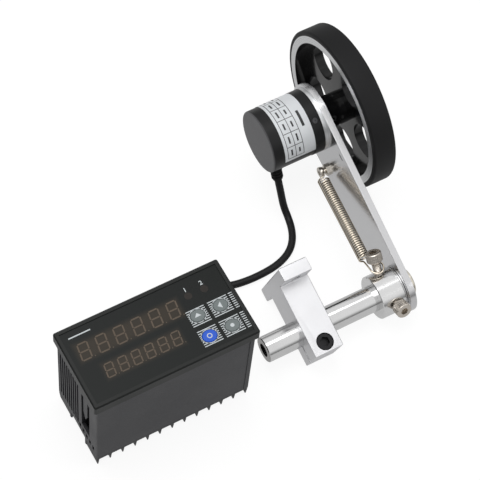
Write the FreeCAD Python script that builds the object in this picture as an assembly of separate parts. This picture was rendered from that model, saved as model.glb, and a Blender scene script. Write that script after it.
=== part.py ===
import FreeCAD, Part
import math
import os

os.makedirs("parts", exist_ok=True)

Vec = FreeCAD.Vector
X = Vec(1, 0, 0)
Y = Vec(0, 1, 0)
Z = Vec(0, 0, 1)

# Frame: +Z up, table at zero, origin under the middle of the box round everything but the
# lead. X runs along the long edge of the meter and along the rod, the wheel and their axes.
# Places named *_x are counted from the middle of the meter until meter_x is added.

# Fits that several pieces share
overrun = 2.0          # how far a cutting shape runs past the face it opens
seat_gap = 0.05        # radial play of pieces that stay together
running_gap = 0.04     # radial play of a shaft in its bore
thrust_gap = 0.15      # axial play of a turning piece
moving_gap = 0.3       # air beside a piece that moves

# Meter, outside
bezel_length = 96.0
bezel_width = 48.0
bezel_depth = 7.0
bezel_corner = 1.2
bezel_edge = 0.7
rim_width = 2.4
recess_depth = 1.0
sheet_thickness = 0.5
floor_thickness = 1.6
meter_height = 77.5
case_length = 92.0
case_width = 44.6
case_wall = 1.8
case_corner = 1.0
corner_band_width = 2.5
corner_band_rise = 0.3
plug_wall = 1.2

# Meter, side vents and latch window
slot_count = 9
slot_pitch = 2.45
slot_width = 1.5
slot_top = 60.0
slot_bottom = 12.5
slot_row_end = -0.3
latch_window_width = 9.0
latch_window_top = 57.5
latch_window_bottom = 19.5
latch_window_y = -9.2
tongue_width = 4.6
tongue_length = 24.0
tongue_tip = 7.0
low_slot_count = 5
low_slot_pitch = 3.8
low_slot_width = 2.0
low_slot_height = 4.5
low_slot_bottom = 11.5
low_slot_row_end = -2.9

# Meter, rear terminals
rib_drop = 7.7
rib_gaps = 12
rib_thickness = 1.5
rib_tip_thickness = 0.6
rib_slope = 0.2
terminal_depth = 14.0
terminal_wall = 1.2
terminal_wall_lift = 0.6
shelf_thickness = 1.9
terminal_screw_radius = 1.5
terminal_head_radius = 2.6
terminal_head_height = 1.9
terminal_slot_width = 0.6
terminal_slot_depth = 0.7
terminal_clamp_gap = 0.4
terminal_clamp_length = 7.0
terminal_clamp_thickness = 0.8
rear_plate_thickness = 2.0

# Meter, face: digits, lamps and keys. Their places are shares of the case's length and
# width, counted from its middle.
digit_count = 6
upper_digit_height = 10.0
upper_row_length_share = 0.6685
upper_row_x_share = -0.1304
upper_row_y_share = 0.1749
lower_digit_height = 8.3
lower_row_length_share = 0.5009
lower_row_x_share = -0.1261
lower_row_y_share = -0.1659
display_depth = 8.0
filter_ledge = 1.5
lamp_radius = 1.5
lamp_flange_radius = 1.9
lamp_flange_height = 1.0
lamp_x_shares = (0.2652, 0.3674)
lamp_y_share = 0.2556
key_length = 8.2
key_width = 7.0
key_thickness = 2.0
key_rise = 0.35
key_x_shares = (0.2538, 0.3989)
key_y_shares = (-0.0213, -0.3117)
key_stem_radius = 1.6
key_travel = 0.5
switch_side = 6.0
switch_height = 3.5
plunger_radius = 1.7
plunger_height = 1.4

# Meter, inside
board_thickness = 1.6
board_end_gap = 4.0
main_board_y = 13.0
power_board_y = -13.0
core_length = 30.0
core_depth = 14.0
core_height = 25.0
core_limb = 7.0
core_end_gap = 5.2
core_lift = 9.0
relay_length = 15.5
relay_depth = 10.0
relay_height = 15.0
relay_end_gap = 5.95
relay_pitch = 19.0
relay_lift = 8.0
capacitor_radius = 5.0
capacitor_length = 16.0
capacitor_end_gap = 7.2
capacitor_pitch = 12.0
capacitor_gap = 1.0
chip_side = 12.0
chip_thickness = 1.4
chip_end_gap = 16.2
chip_lift = 24.0
header_length = 26.0
header_depth = 2.5
header_height = 6.0

# Measuring wheel
wheel_circumference = 300.0
tyre_width = 14.0
tyre_thickness = 2.75
tyre_edge = 0.6
rim_wall = 4.5
wheel_face_x = 159.8
wheel_y = 90.75
web_thickness = 5.5
web_setback = 5.4
web_dish = 1.0
hub_radius = 9.5
hub_face_x = 153.2
hub_end_setback = 1.5
spoke_hole_count = 5
spoke_hole_radius = 10.8
spoke_hole_place = 26.8
spoke_hole_first_degrees = 34.0
hub_screw_radius = 2.0
hub_screw_degrees = (150.0, 240.0)
hub_screw_x = 156.6
hub_screw_sink = 0.6

# Encoder
housing_radius = 18.5
housing_wall = 1.5
housing_edge = 1.0
housing_end_x = 112.7
ring_length = 6.2
ring_rise = 0.3
label_length = 19.4
label_thickness = 0.15
label_gap_degrees = 124.0
flange_radius = 19.0
flange_thickness = 1.8
boss_length = 12.0
pilot_radius = 8.5
pilot_length = 3.6
shaft_radius = 3.0
shaft_end_setback = 0.8
shaft_tail_x = 122.0
bearing_outer_radius = 6.5
bearing_width = 5.0
bearing_ring_wall = 1.0
bearing_ball_radius = 1.0
bearing_ball_count = 7
race_gap = 0.05
disc_radius = 12.0
disc_thickness = 0.8
disc_hub_radius = 4.5
disc_hub_length = 3.0
disc_x = 128.0
encoder_board_x = 116.0
encoder_board_radius = 16.7
sensor_inner = 9.0
sensor_outer = 15.6
sensor_width = 8.0
sensor_slot = 2.2
sensor_lip = 1.6
board_post_radius = 1.5
grub_screw_radius = 1.5
grub_screw_count = 3
grub_screw_sink = 0.25
grub_key_radius = 0.75
grub_first_degrees = 121.5

# Gland and lead
gland_x = 119.5
gland_degrees = 30.0
gland_root_radius = 3.85
gland_root_length = 2.4
gland_neck_radius = 2.9
gland_rib_radius = 3.4
gland_rib_length = 0.9
gland_rib_gap = 0.9
gland_ribs = 3
gland_reach = 27.5
gland_bore_radius = 1.3
lead_radius = 2.15
sleeve_radius = 2.5
sleeve_length = 5.0
wire_radius = 0.5
wire_pitch = 1.2
wire_count = 4
wire_first_cell = 7
outer_wire_turn_share = 0.3
inner_wire_turn_share = 0.65
run_arc_share = 0.45

# Swing arm
arm_face_x = 147.0
arm_thickness = 4.0
arm_centres = 106.0
arm_head_radius = 20.6
arm_tail_radius = 15.5
flange_screw_radius = 1.5
flange_screw_head = 2.9
flange_screw_place = 12.8
flange_screw_count = 3
flange_screw_length = 9.0
flange_screw_first_degrees = 90.0
hex_key_depth_share = 0.5

# Pivot, collar and rod
rod_radius = 7.5
rod_start_x = 62.1
rod_end_x = 146.07
rod_bore_radius = 4.0
rod_bore_depth = 25.0
rod_edge = 0.4
collar_radius = 12.73
collar_length = 14.5
collar_edge = 0.4
bolt_thread_radius = 3.0
bolt_thread_length = 14.0
bolt_shoulder_radius = 4.0
bolt_head_radius = 8.3
bolt_head_height = 2.7
bolt_head_edge = 0.8
bolt_key_radius = 2.5
washer_radius = 8.5
washer_thickness = 1.2
spacer_radius = 7.0
bush_wall = 1.6
anchor_x = 138.8
anchor_degrees = 49.5
lock_x = 140.5
lock_degrees = 157.5
m5_radius = 2.5
m5_head_radius = 4.25
m5_head_height = 5.0
m5_key_radius = 2.3
m5_head_edge = 0.4
anchor_head_place = 20.5
lock_head_place = 13.9
anchor_neck_place = 16.5

# Clamp block, in a frame from the rod axis toward the foot
clamp_start_x = 83.2
clamp_width = 17.3
clamp_front = 17.0
clamp_half = 12.0
stem_length = 26.2
foot_thickness = 7.8
foot_half = 24.0
foot_bevel = 0.6
clamp_slit = 1.2
clamp_slit_place = -2.0
clamp_screw_place = -11.2
clamp_screw_radius = 3.0
clamp_head_radius = 4.9
clamp_head_height = 6.0
clamp_head_sink = 0.3
clamp_head_edge = 0.5
clamp_key_radius = 2.9
clamp_screw_length = 13.0
foot_hole_radius = 2.75
foot_hole_place = 18.0

# Spring and its post, in a frame from the rod axis along the arm
post_u = 78.0
post_w = -14.0
post_radius = 1.75
post_head_radius = 3.3
post_head_height = 1.4
post_head_edge = 0.5
post_neck_setback = 3.4
post_head_gap = 0.75
post_nut_across = 6.0
post_nut_height = 1.8
post_slot_width = 0.7
post_slot_depth = 0.6
spring_radius = 2.6
spring_wire_radius = 0.47
spring_turns = 40
coil_anchor_setback = 6.0
coil_anchor_side = 5.3
coil_post_setback = 5.2
coil_post_side = 1.7
hook_gap = 0.25
hook_sweep_degrees = 270.0
hook_steps = 3

# Places that follow from the sizes above
wheel_radius = wheel_circumference / (2 * math.pi)
wheel_z = wheel_radius
clamp_tilt = math.atan2(foot_half - clamp_half, clamp_front + stem_length)
rod_z = clamp_front * math.sin(clamp_tilt) + clamp_half * math.cos(clamp_tilt)
arm_tilt = math.asin((wheel_z - rod_z) / arm_centres)
rod_y = wheel_y - arm_centres * math.cos(arm_tilt)
front_y = rod_y - clamp_front * math.cos(clamp_tilt) - clamp_half * math.sin(clamp_tilt)
meter_x = -(wheel_face_x + tyre_width - bezel_length / 2) / 2
meter_y = -(wheel_y + wheel_radius + front_y) / 2
meter_place = Vec(meter_x, meter_y, 0)

case_bottom = rib_drop
bezel_back = meter_height - bezel_depth
sheet_back = meter_height - recess_depth
sheet_face = sheet_back + sheet_thickness
floor_back = sheet_back - floor_thickness
board_top = floor_back - display_depth
sheet_length = bezel_length - 2 * rim_width
sheet_width = bezel_width - 2 * rim_width
inner_length = case_length - 2 * case_wall
inner_width = case_width - 2 * case_wall
board_bottom = board_top - board_thickness
rear_plate_top = case_bottom + rear_plate_thickness
terminal_inner = case_width / 2 - terminal_depth
shelf_bottom = case_bottom - shelf_thickness
clamp_plate_y = (terminal_inner + terminal_wall + case_width / 2 - rib_slope) / 2
rib_pitch = (case_length - rib_thickness) / rib_gaps
terminal_clamp_width = rib_pitch - rib_thickness - 2 * terminal_clamp_gap
upper_digit_pitch = case_length * upper_row_length_share / digit_count
upper_digit_x = case_length * upper_row_x_share
upper_digit_y = case_width * upper_row_y_share
lower_digit_pitch = case_length * lower_row_length_share / digit_count
lower_digit_x = case_length * lower_row_x_share
lower_digit_y = case_width * lower_row_y_share
lamp_places = [case_length * share for share in lamp_x_shares]
lamp_y = case_width * lamp_y_share
key_left_x, key_right_x = [case_length * share for share in key_x_shares]
key_upper_y, key_lower_y = [case_width * share for share in key_y_shares]
key_top = sheet_face + key_rise
key_back = key_top - key_thickness
switch_top = board_top + switch_height + plunger_height
core_x = (core_length - inner_length) / 2 + core_end_gap
keys = {
    "key_up": (key_left_x, key_upper_y),
    "key_left": (key_right_x, key_upper_y),
    "key_set": (key_left_x, key_lower_y),
    "key_enter": (key_right_x, key_lower_y),
}

wheel_axis = Vec(0, wheel_y, wheel_z)
rod_axis = Vec(0, rod_y, rod_z)
arm_u = Vec(0, math.cos(arm_tilt), math.sin(arm_tilt))
arm_w = Vec(0, -math.sin(arm_tilt), math.cos(arm_tilt))
clamp_u = Vec(0, math.cos(clamp_tilt), math.sin(clamp_tilt))
clamp_w = Vec(0, -math.sin(clamp_tilt), math.cos(clamp_tilt))
arm_back_x = arm_face_x + arm_thickness
flange_face_x = arm_face_x - flange_thickness
ring_start_x = flange_face_x - ring_length
label_start_x = ring_start_x - label_length
rim_radius = wheel_radius - tyre_thickness
housing_bore = housing_radius - housing_wall
bearing_ring_middle = (bearing_outer_radius + shaft_radius) / 2
gland_way = Vec(0, -math.sin(math.radians(gland_degrees)), -math.cos(math.radians(gland_degrees)))

# The lead's route, chosen by hand from the gland to the sleeve behind the meter. Counted
# from the middle of the meter; the height is above the table.
lead_route = [
    (119.5, 77.0, 23.9),
    (119.5, 72.7, 16.45),
    (119.5, 67.7, 6.6),
    (119.4, 61.6, 2.15),
    (117.3, 54.4, 2.15),
    (114.3, 48.2, 2.15),
    (109.9, 43.1, 2.15),
    (103.8, 39.4, 2.15),
    (96.4, 37.5, 2.15),
    (88.0, 36.8, 2.15),
    (79.4, 36.9, 2.15),
    (70.8, 38.0, 2.15),
    (62.6, 40.9, 2.15),
    (54.8, 44.9, 2.15),
    (47.2, 48.5, 2.15),
    (39.4, 50.2, 2.15),
    (33.6, 49.5, 2.15),
    (28.5, 46.8, 2.15),
    (24.7, 42.4, 2.3),
    (22.8, 37.2, 2.6),
    (22.8, 31.9, 2.6),
]


def block(x0, x1, y0, y1, z0, z1):
    return Part.makeBox(x1 - x0, y1 - y0, z1 - z0, Vec(x0, y0, z0))


def slab(length, width, z0, z1, corner=0):
    """An upright block about the origin, with rounded corners if corner is given."""
    body = block(-length / 2, length / 2, -width / 2, width / 2, z0, z1)
    if not corner:
        return body
    upright = [e for e in body.Edges if abs(e.tangentAt(e.FirstParameter).z) > abs(
        e.tangentAt(e.FirstParameter).x) + abs(e.tangentAt(e.FirstParameter).y)]
    return body.makeFillet(corner, upright)


def along(axis, x):
    """The point of an X-parallel axis at a place along it."""
    return Vec(x, axis.y, axis.z)


def turned(axis, x0, x1, radius):
    """A cylinder along X between two places."""
    return Part.makeCylinder(radius, x1 - x0, along(axis, x0), X)


def tube(axis, x0, x1, outer, inner):
    bore = turned(axis, x0 - overrun, x1 + overrun, inner)
    return turned(axis, x0, x1, outer).cut(bore)


def radial(degrees):
    """The direction across X at an angle above +Y."""
    angle = math.radians(degrees)
    return Vec(0, math.cos(angle), math.sin(angle))


def peg(start, way, radius, length):
    return Part.makeCylinder(radius, length, start, way)


def prism(points, sweep):
    wire = Part.makePolygon(points + points[:1])
    return Part.Face(wire).extrude(sweep)


def spun(points, axis_point, axis_way):
    """A closed outline turned once round an axis."""
    wire = Part.makePolygon(points + points[:1])
    return Part.Face(wire).revolve(axis_point, axis_way, 360)


def hexagon(start, way, corner_radius, depth):
    """A six-sided socket or nut."""
    side = way.cross(X)
    if side.Length < seat_gap:
        side = way.cross(Y)
    side.normalize()
    other = way.cross(side)
    points = []
    for i in range(6):
        angle = math.radians(60 * i)
        points.append(start + side * (corner_radius * math.cos(angle))
                      + other * (corner_radius * math.sin(angle)))
    return prism(points, way * depth)


def oval(length, width, z0, z1, x, y):
    """An upright elliptical column."""
    rim = Part.Ellipse(Vec(x, y, z0), length / 2, width / 2).toShape()
    return Part.Face(Part.Wire([rim])).extrude(Z * (z1 - z0))


def chamfered_end(shape, size, way, place):
    """Breaks the round edges whose middle lies at a place along a direction."""
    edges = [e for e in shape.Edges
             if isinstance(e.Curve, Part.Circle) and abs(e.Curve.Center.dot(way) - place) < seat_gap]
    return shape.makeChamfer(size, edges)


def save(name, *solids):
    shape = solids[0] if len(solids) == 1 else Part.makeCompound(list(solids))
    shape.translate(meter_place)
    shape.exportStep("parts/" + name + ".step")
    bad = [s for s in shape.Solids if not s.isValid() or s.Volume <= 0]
    print(name, "solids", len(shape.Solids), "volume", round(shape.Volume, 1),
          "FAULT" if bad or not shape.Solids else "")


def socket_screw(start, way, radius, length, head_radius, head_height, key_radius, edge):
    """A cap screw whose head begins at start and whose thread runs against way."""
    head = peg(start, way, head_radius, head_height)
    head = chamfered_end(head, edge, way, start.dot(way) + head_height)
    key_depth = head_height * hex_key_depth_share
    top = start + way * (head_height + overrun)
    head = head.cut(hexagon(top, way * -1, key_radius, key_depth + overrun))
    return head.fuse(peg(start, way * -1, radius, length)).removeSplitter()


# Meter

def case_shell():
    outer = slab(case_length, case_width, case_bottom, bezel_back, case_corner)
    for side in (-1, 1):
        for end in (-1, 1):
            x = end * (case_length - corner_band_width) / 2
            y = side * case_width / 2
            band = block(x - corner_band_width / 2, x + corner_band_width / 2,
                         y - corner_band_rise, y + corner_band_rise, case_bottom, bezel_back)
            outer = outer.fuse(band)
    inner = slab(inner_length, inner_width, case_bottom - overrun, bezel_back + overrun)
    shell = outer.removeSplitter().cut(inner)
    return shell.cut(Part.makeCompound(side_openings()))


def side_openings():
    """Vents and a latch window through both short walls."""
    reach = case_length / 2 + overrun
    cuts = []
    for i in range(slot_count):
        y = slot_row_end + i * slot_pitch
        cuts.append(block(-reach, reach, y - slot_width / 2, y + slot_width / 2,
                          slot_bottom, slot_top))
    for i in range(low_slot_count):
        y = low_slot_row_end - i * low_slot_pitch
        cuts.append(block(-reach, reach, y - low_slot_width / 2, y + low_slot_width / 2,
                          low_slot_bottom, low_slot_bottom + low_slot_height))
    window = block(-reach, reach, latch_window_y - latch_window_width / 2,
                   latch_window_y + latch_window_width / 2, latch_window_bottom, latch_window_top)
    half = tongue_width / 2
    tip = latch_window_top - tongue_length
    tongue = prism([
        Vec(-reach, latch_window_y - half, latch_window_top),
        Vec(-reach, latch_window_y - half, tip + tongue_tip),
        Vec(-reach, latch_window_y, tip),
        Vec(-reach, latch_window_y + half, tip + tongue_tip),
        Vec(-reach, latch_window_y + half, latch_window_top),
    ], X * (2 * reach))
    cuts.append(window.cut(tongue))
    return cuts


def digit_row(height, pitch, x, y, margin):
    """Half sizes and middle of a row of digits with a margin round it."""
    half_length = pitch * digit_count / 2 + margin
    half_width = height / 2 + margin
    return x - half_length, x + half_length, y - half_width, y + half_width


def upper_row(margin):
    return digit_row(upper_digit_height, upper_digit_pitch, upper_digit_x, upper_digit_y, margin)


def lower_row(margin):
    return digit_row(lower_digit_height, lower_digit_pitch, lower_digit_x, lower_digit_y, margin)


def filter_box(z0, z1, gap):
    """The smoked pane behind both rows of digits, ending short of the keys."""
    start, _, _, top = upper_row(filter_ledge)
    _, _, bottom, _ = lower_row(filter_ledge)
    end = key_left_x - key_length / 2 - 2 * moving_gap
    return block(start - gap, end + gap, bottom - gap, top + gap, z0, z1)


def front_bezel():
    frame = slab(bezel_length, bezel_width, bezel_back, meter_height, bezel_corner)
    top = [e for e in frame.Edges if abs(e.BoundBox.ZMin - meter_height) < seat_gap]
    frame = frame.makeChamfer(bezel_edge, top)
    plug_length = inner_length - 2 * seat_gap
    plug_width = inner_width - 2 * seat_gap
    plug = slab(plug_length, plug_width, board_top, bezel_back + plug_wall)
    body = frame.fuse(plug).removeSplitter()
    body = body.cut(slab(sheet_length, sheet_width, sheet_back, meter_height + overrun))
    body = body.cut(slab(plug_length - 2 * plug_wall, plug_width - 2 * plug_wall,
                         board_top - overrun, floor_back))
    cuts = [filter_box(floor_back - overrun, sheet_back + overrun, seat_gap)]
    for x, y in keys.values():
        cuts.append(oval(key_length + 2 * moving_gap, key_width + 2 * moving_gap,
                         floor_back - overrun, sheet_back + overrun, x, y))
    for x in lamp_places:
        cuts.append(peg(Vec(x, lamp_y, floor_back - overrun), Z, lamp_radius + seat_gap,
                        floor_thickness + 2 * overrun))
    return body.cut(Part.makeCompound(cuts))


def front_sheet():
    sheet = slab(sheet_length, sheet_width, sheet_back, sheet_face)
    cuts = []
    for x, y in keys.values():
        cuts.append(oval(key_length + 2 * moving_gap, key_width + 2 * moving_gap,
                         sheet_back - overrun, sheet_face + overrun, x, y))
    for x in lamp_places:
        cuts.append(peg(Vec(x, lamp_y, sheet_back - overrun), Z, lamp_radius + seat_gap,
                        sheet_thickness + 2 * overrun))
    return sheet.cut(Part.makeCompound(cuts))


def display_module(row):
    x0, x1, y0, y1 = row
    return block(x0, x1, y0, y1, board_top, floor_back)


def front_key(x, y):
    """A key cap with the stem that reaches down to its switch."""
    cap = oval(key_length, key_width, key_back, key_top, x, y)
    top = [e for e in cap.Edges if abs(e.BoundBox.ZMin - key_top) < seat_gap]
    cap = cap.makeChamfer(key_rise, top)
    stem_foot = switch_top + thrust_gap + key_travel
    stem = peg(Vec(x, y, stem_foot), Z, key_stem_radius, key_back + seat_gap - stem_foot)
    return cap.fuse(stem).removeSplitter()


def key_switch(x, y):
    half = switch_side / 2
    body = block(x - half, x + half, y - half, y + half, board_top, board_top + switch_height)
    plunger = peg(Vec(x, y, board_top + switch_height), Z, plunger_radius, plunger_height)
    return body.fuse(plunger).removeSplitter()


def lamp(x):
    foot = Vec(x, lamp_y, board_top)
    flange = peg(foot, Z, lamp_flange_radius, lamp_flange_height)
    lens_height = sheet_face - lamp_radius - board_top
    body = peg(foot, Z, lamp_radius, lens_height)
    dome = Part.makeSphere(lamp_radius, foot + Z * lens_height, Z, 0, 90)
    return body.fuse(flange).fuse(dome).removeSplitter()


def display_board():
    return slab(inner_length - 2 * seat_gap, inner_width - 2 * seat_gap, board_bottom, board_top)


def upright_board(y):
    half = inner_length / 2 - board_end_gap
    return block(-half, half, y - board_thickness / 2, y + board_thickness / 2,
                 rear_plate_top, board_bottom)


def transformer():
    """A laminated core with three limbs and a winding round the middle one."""
    y0 = power_board_y + board_thickness / 2
    y1 = y0 + core_depth
    z0 = rear_plate_top + core_lift
    z1 = z0 + core_height
    x0 = core_x - core_length / 2
    x1 = core_x + core_length / 2
    core = block(x0, x1, y0, y1, z0, z1)
    window = (core_length - 2 * core_limb - core_limb) / 2
    half_limb = core_limb / 2
    yoke = core_limb / 2
    for side in (-1, 1):
        middle = core_x + side * (half_limb + window / 2)
        core = core.cut(block(middle - window / 2, middle + window / 2,
                              y0 - overrun, y1 + overrun, z0 + yoke, z1 - yoke))
    reach = half_limb + window - moving_gap
    winding = block(core_x - reach, core_x + reach, y0 + moving_gap, y1 + window,
                    z0 + yoke + moving_gap, z1 - yoke - moving_gap)
    hollow = block(core_x - half_limb - seat_gap, core_x + half_limb + seat_gap,
                   y0 - overrun, y1 + seat_gap, z0, z1)
    return core, winding.cut(hollow)


def relays():
    y1 = main_board_y - board_thickness / 2
    solids = []
    for i in range(2):
        x = (inner_length - relay_length) / 2 - relay_end_gap - i * relay_pitch
        solids.append(block(x - relay_length / 2, x + relay_length / 2, y1 - relay_depth, y1,
                            rear_plate_top + relay_lift, rear_plate_top + relay_lift + relay_height))
    return solids


def capacitors():
    """A row on the power board, above the transformer."""
    y0 = power_board_y + board_thickness / 2
    z = rear_plate_top + core_lift + core_height + capacitor_gap + capacitor_radius
    solids = []
    for i in range(3):
        x = inner_length / 2 - capacitor_end_gap - capacitor_radius - i * capacitor_pitch
        solids.append(peg(Vec(x, y0, z), Y, capacitor_radius, capacitor_length))
    return solids


def control_chip():
    x0 = chip_end_gap - inner_length / 2
    y1 = main_board_y - board_thickness / 2
    z0 = rear_plate_top + chip_lift
    return block(x0, x0 + chip_side, y1 - chip_thickness, y1, z0, z0 + chip_side)


def board_headers():
    """Pin headers that stand on the two upright boards and meet the display board."""
    solids = []
    for y, side in ((main_board_y, -1), (power_board_y, 1)):
        face = y + side * board_thickness / 2
        y0, y1 = sorted((face, face + side * header_depth))
        solids.append(block(-header_length / 2, header_length / 2, y0, y1,
                            board_bottom - header_height, board_bottom))
    return solids


def rear_plate():
    return slab(inner_length - 2 * seat_gap, inner_width - 2 * seat_gap,
                case_bottom, rear_plate_top)


def cell_x(i):
    return (i - (rib_gaps - 1) / 2) * rib_pitch


def barrier_rib(x):
    """A rib that slopes in at its outer edge and thins toward its tip."""
    outer = case_width / 2
    root = rib_thickness / 2
    tip = rib_tip_thickness / 2
    upright = prism([
        Vec(x - root, terminal_inner, 0),
        Vec(x - root, outer - rib_slope, 0),
        Vec(x - root, outer, shelf_bottom),
        Vec(x - root, outer, case_bottom),
        Vec(x - root, terminal_inner, case_bottom),
    ], X * rib_thickness)
    taper = prism([
        Vec(x - tip, terminal_inner, 0),
        Vec(x + tip, terminal_inner, 0),
        Vec(x + root, terminal_inner, shelf_bottom),
        Vec(x + root, terminal_inner, case_bottom),
        Vec(x - root, terminal_inner, case_bottom),
        Vec(x - root, terminal_inner, shelf_bottom),
    ], Y * (outer - terminal_inner))
    return upright.common(taper)


def terminal_block(side):
    """Barrier strip: an inner wall, a shelf and the ribs between the screws."""
    half = rib_gaps * rib_pitch / 2 + rib_thickness / 2
    outer = case_width / 2
    pieces = [
        block(-half, half, terminal_inner, outer, shelf_bottom, case_bottom),
        block(-half, half, terminal_inner, terminal_inner + terminal_wall,
              terminal_wall_lift, case_bottom),
    ]
    body = pieces[0].fuse(pieces[1:])
    for i in range(rib_gaps + 1):
        body = body.fuse(barrier_rib((i - rib_gaps / 2) * rib_pitch))
    holes = [peg(Vec(cell_x(i), clamp_plate_y, shelf_bottom - overrun), Z,
                 terminal_screw_radius + seat_gap, shelf_thickness + overrun)
             for i in range(rib_gaps)]
    body = body.removeSplitter().cut(Part.makeCompound(holes))
    if side < 0:
        body = body.mirror(Vec(0, 0, 0), Y)
    return body


def terminal_screw(x, side):
    head_face = shelf_bottom - terminal_clamp_thickness
    foot = Vec(x, side * clamp_plate_y, head_face)
    head = peg(foot, Z * -1, terminal_head_radius, terminal_head_height)
    half = terminal_slot_width / 2
    low = head_face - terminal_head_height
    reach = terminal_head_radius + overrun
    slot = block(x - half, x + half, foot.y - reach, foot.y + reach,
                 low - overrun, low + terminal_slot_depth)
    shank = peg(foot, Z, terminal_screw_radius, terminal_clamp_thickness + shelf_thickness)
    return head.cut(slot).fuse(shank).removeSplitter()


def terminal_clamp(x, side):
    half = terminal_clamp_width / 2
    y0 = side * clamp_plate_y - terminal_clamp_length / 2
    plate = block(x - half, x + half, y0, y0 + terminal_clamp_length,
                  shelf_bottom - terminal_clamp_thickness, shelf_bottom)
    hole = peg(Vec(x, side * clamp_plate_y, shelf_bottom - terminal_clamp_thickness - overrun), Z,
               terminal_screw_radius + seat_gap, terminal_clamp_thickness + 2 * overrun)
    return plate.cut(hole)


# Encoder

def encoder_housing():
    body = turned(wheel_axis, housing_end_x, ring_start_x, housing_radius)
    ring = turned(wheel_axis, ring_start_x, flange_face_x, housing_radius + ring_rise)
    body = body.fuse(ring).removeSplitter()
    edge = [e for e in body.Edges if isinstance(e.Curve, Part.Circle)
            and abs(e.Curve.Center.x - housing_end_x) < seat_gap]
    body = body.makeFillet(housing_edge, edge)
    body = body.cut(turned(wheel_axis, housing_end_x + housing_wall, flange_face_x + overrun,
                           housing_bore))
    start = along(wheel_axis, gland_x)
    body = body.cut(peg(start, gland_way, gland_neck_radius + seat_gap,
                        housing_radius + overrun))
    for i in range(grub_screw_count):
        way = radial(grub_first_degrees + i * 360 / grub_screw_count)
        hole = peg(along(wheel_axis, grub_x()), way, grub_screw_radius + seat_gap,
                   housing_radius + overrun)
        body = body.cut(hole)
    return body


def grub_x():
    return ring_start_x + ring_length / 2


def encoder_label():
    """A thin sleeve round the housing, open on the underside beside the gland."""
    radius = housing_radius + seat_gap / 2
    inner = Vec(label_start_x, wheel_y, wheel_z)
    start = gland_way * 1
    turn = FreeCAD.Rotation(X, label_gap_degrees / 2)
    start = turn.multVec(start)
    points = [
        inner + start * radius,
        inner + start * (radius + label_thickness),
        inner + start * (radius + label_thickness) + X * label_length,
        inner + start * radius + X * label_length,
    ]
    face = Part.Face(Part.makePolygon(points + points[:1]))
    return face.revolve(inner, X, 360 - label_gap_degrees)


def grub_screws():
    solids = []
    foot = housing_bore
    top = housing_radius + ring_rise - grub_screw_sink
    for i in range(grub_screw_count):
        way = radial(grub_first_degrees + i * 360 / grub_screw_count)
        base = along(wheel_axis, grub_x())
        screw = peg(base + way * foot, way, grub_screw_radius, top - foot)
        key = hexagon(base + way * (top + overrun), way * -1, grub_key_radius,
                      (top - foot) * hex_key_depth_share + overrun)
        solids.append(screw.cut(key))
    return solids


def encoder_flange():
    """The bearing carrier: flange, boss inside the housing and pilot through the arm."""
    plate = turned(wheel_axis, flange_face_x, arm_face_x, flange_radius)
    boss = turned(wheel_axis, flange_face_x - boss_length, flange_face_x, housing_bore - seat_gap)
    pilot = turned(wheel_axis, arm_face_x, arm_face_x + pilot_length, pilot_radius)
    body = plate.fuse([boss, pilot]).removeSplitter()
    seat_radius = bearing_outer_radius + seat_gap
    far = arm_face_x + pilot_length
    near = flange_face_x - boss_length
    through = bearing_outer_radius - bearing_ring_wall
    body = body.cut(turned(wheel_axis, near - overrun, far + overrun, through))
    body = body.cut(turned(wheel_axis, near - overrun, near + bearing_width, seat_radius))
    body = body.cut(turned(wheel_axis, far - bearing_width, far + overrun, seat_radius))
    for way in flange_screw_ways():
        start = along(wheel_axis, arm_back_x) + way * flange_screw_place
        body = body.cut(peg(start, X * -1, flange_screw_radius + seat_gap,
                            flange_screw_length + seat_gap))
    return body


def flange_screw_ways():
    return [radial(flange_screw_first_degrees + i * 360 / flange_screw_count)
            for i in range(flange_screw_count)]


def bearing_starts():
    return (flange_face_x - boss_length, arm_face_x + pilot_length - bearing_width)


def bearing_races():
    """The grooves that the balls run in, as one cutting shape for each bearing."""
    grooves = []
    for start in bearing_starts():
        middle = along(wheel_axis, start + bearing_width / 2)
        grooves.append(Part.makeTorus(bearing_ring_middle, bearing_ball_radius + race_gap,
                                      middle, X))
    return grooves


def bearing_outer_rings():
    rings = []
    for start, groove in zip(bearing_starts(), bearing_races()):
        ring = tube(wheel_axis, start, start + bearing_width, bearing_outer_radius,
                    bearing_outer_radius - bearing_ring_wall)
        rings.append(ring.cut(groove))
    return rings


def bearing_inner_rings():
    rings = []
    for start, groove in zip(bearing_starts(), bearing_races()):
        ring = tube(wheel_axis, start, start + bearing_width, shaft_radius + bearing_ring_wall,
                    shaft_radius + seat_gap)
        rings.append(ring.cut(groove))
    return rings


def bearing_balls():
    balls = []
    for start in bearing_starts():
        middle = along(wheel_axis, start + bearing_width / 2)
        for i in range(bearing_ball_count):
            way = radial(i * 360 / bearing_ball_count)
            balls.append(Part.makeSphere(bearing_ball_radius, middle + way * bearing_ring_middle))
    return balls


def code_disc():
    disc = turned(wheel_axis, disc_x, disc_x + disc_thickness, disc_radius)
    hub = turned(wheel_axis, disc_x, disc_x + disc_hub_length, disc_hub_radius)
    bore = turned(wheel_axis, disc_x - overrun, disc_x + disc_hub_length + overrun,
                  shaft_radius + seat_gap)
    return disc.fuse(hub).removeSplitter().cut(bore)


def encoder_board():
    return turned(wheel_axis, encoder_board_x, encoder_board_x + board_thickness,
                  encoder_board_radius)


def board_posts():
    """Two columns that carry the encoder board from the housing's end wall."""
    return [peg(along(wheel_axis, housing_end_x + housing_wall) + Y * (side * sensor_inner), X,
                board_post_radius, encoder_board_x - housing_end_x - housing_wall)
            for side in (-1, 1)]


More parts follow.
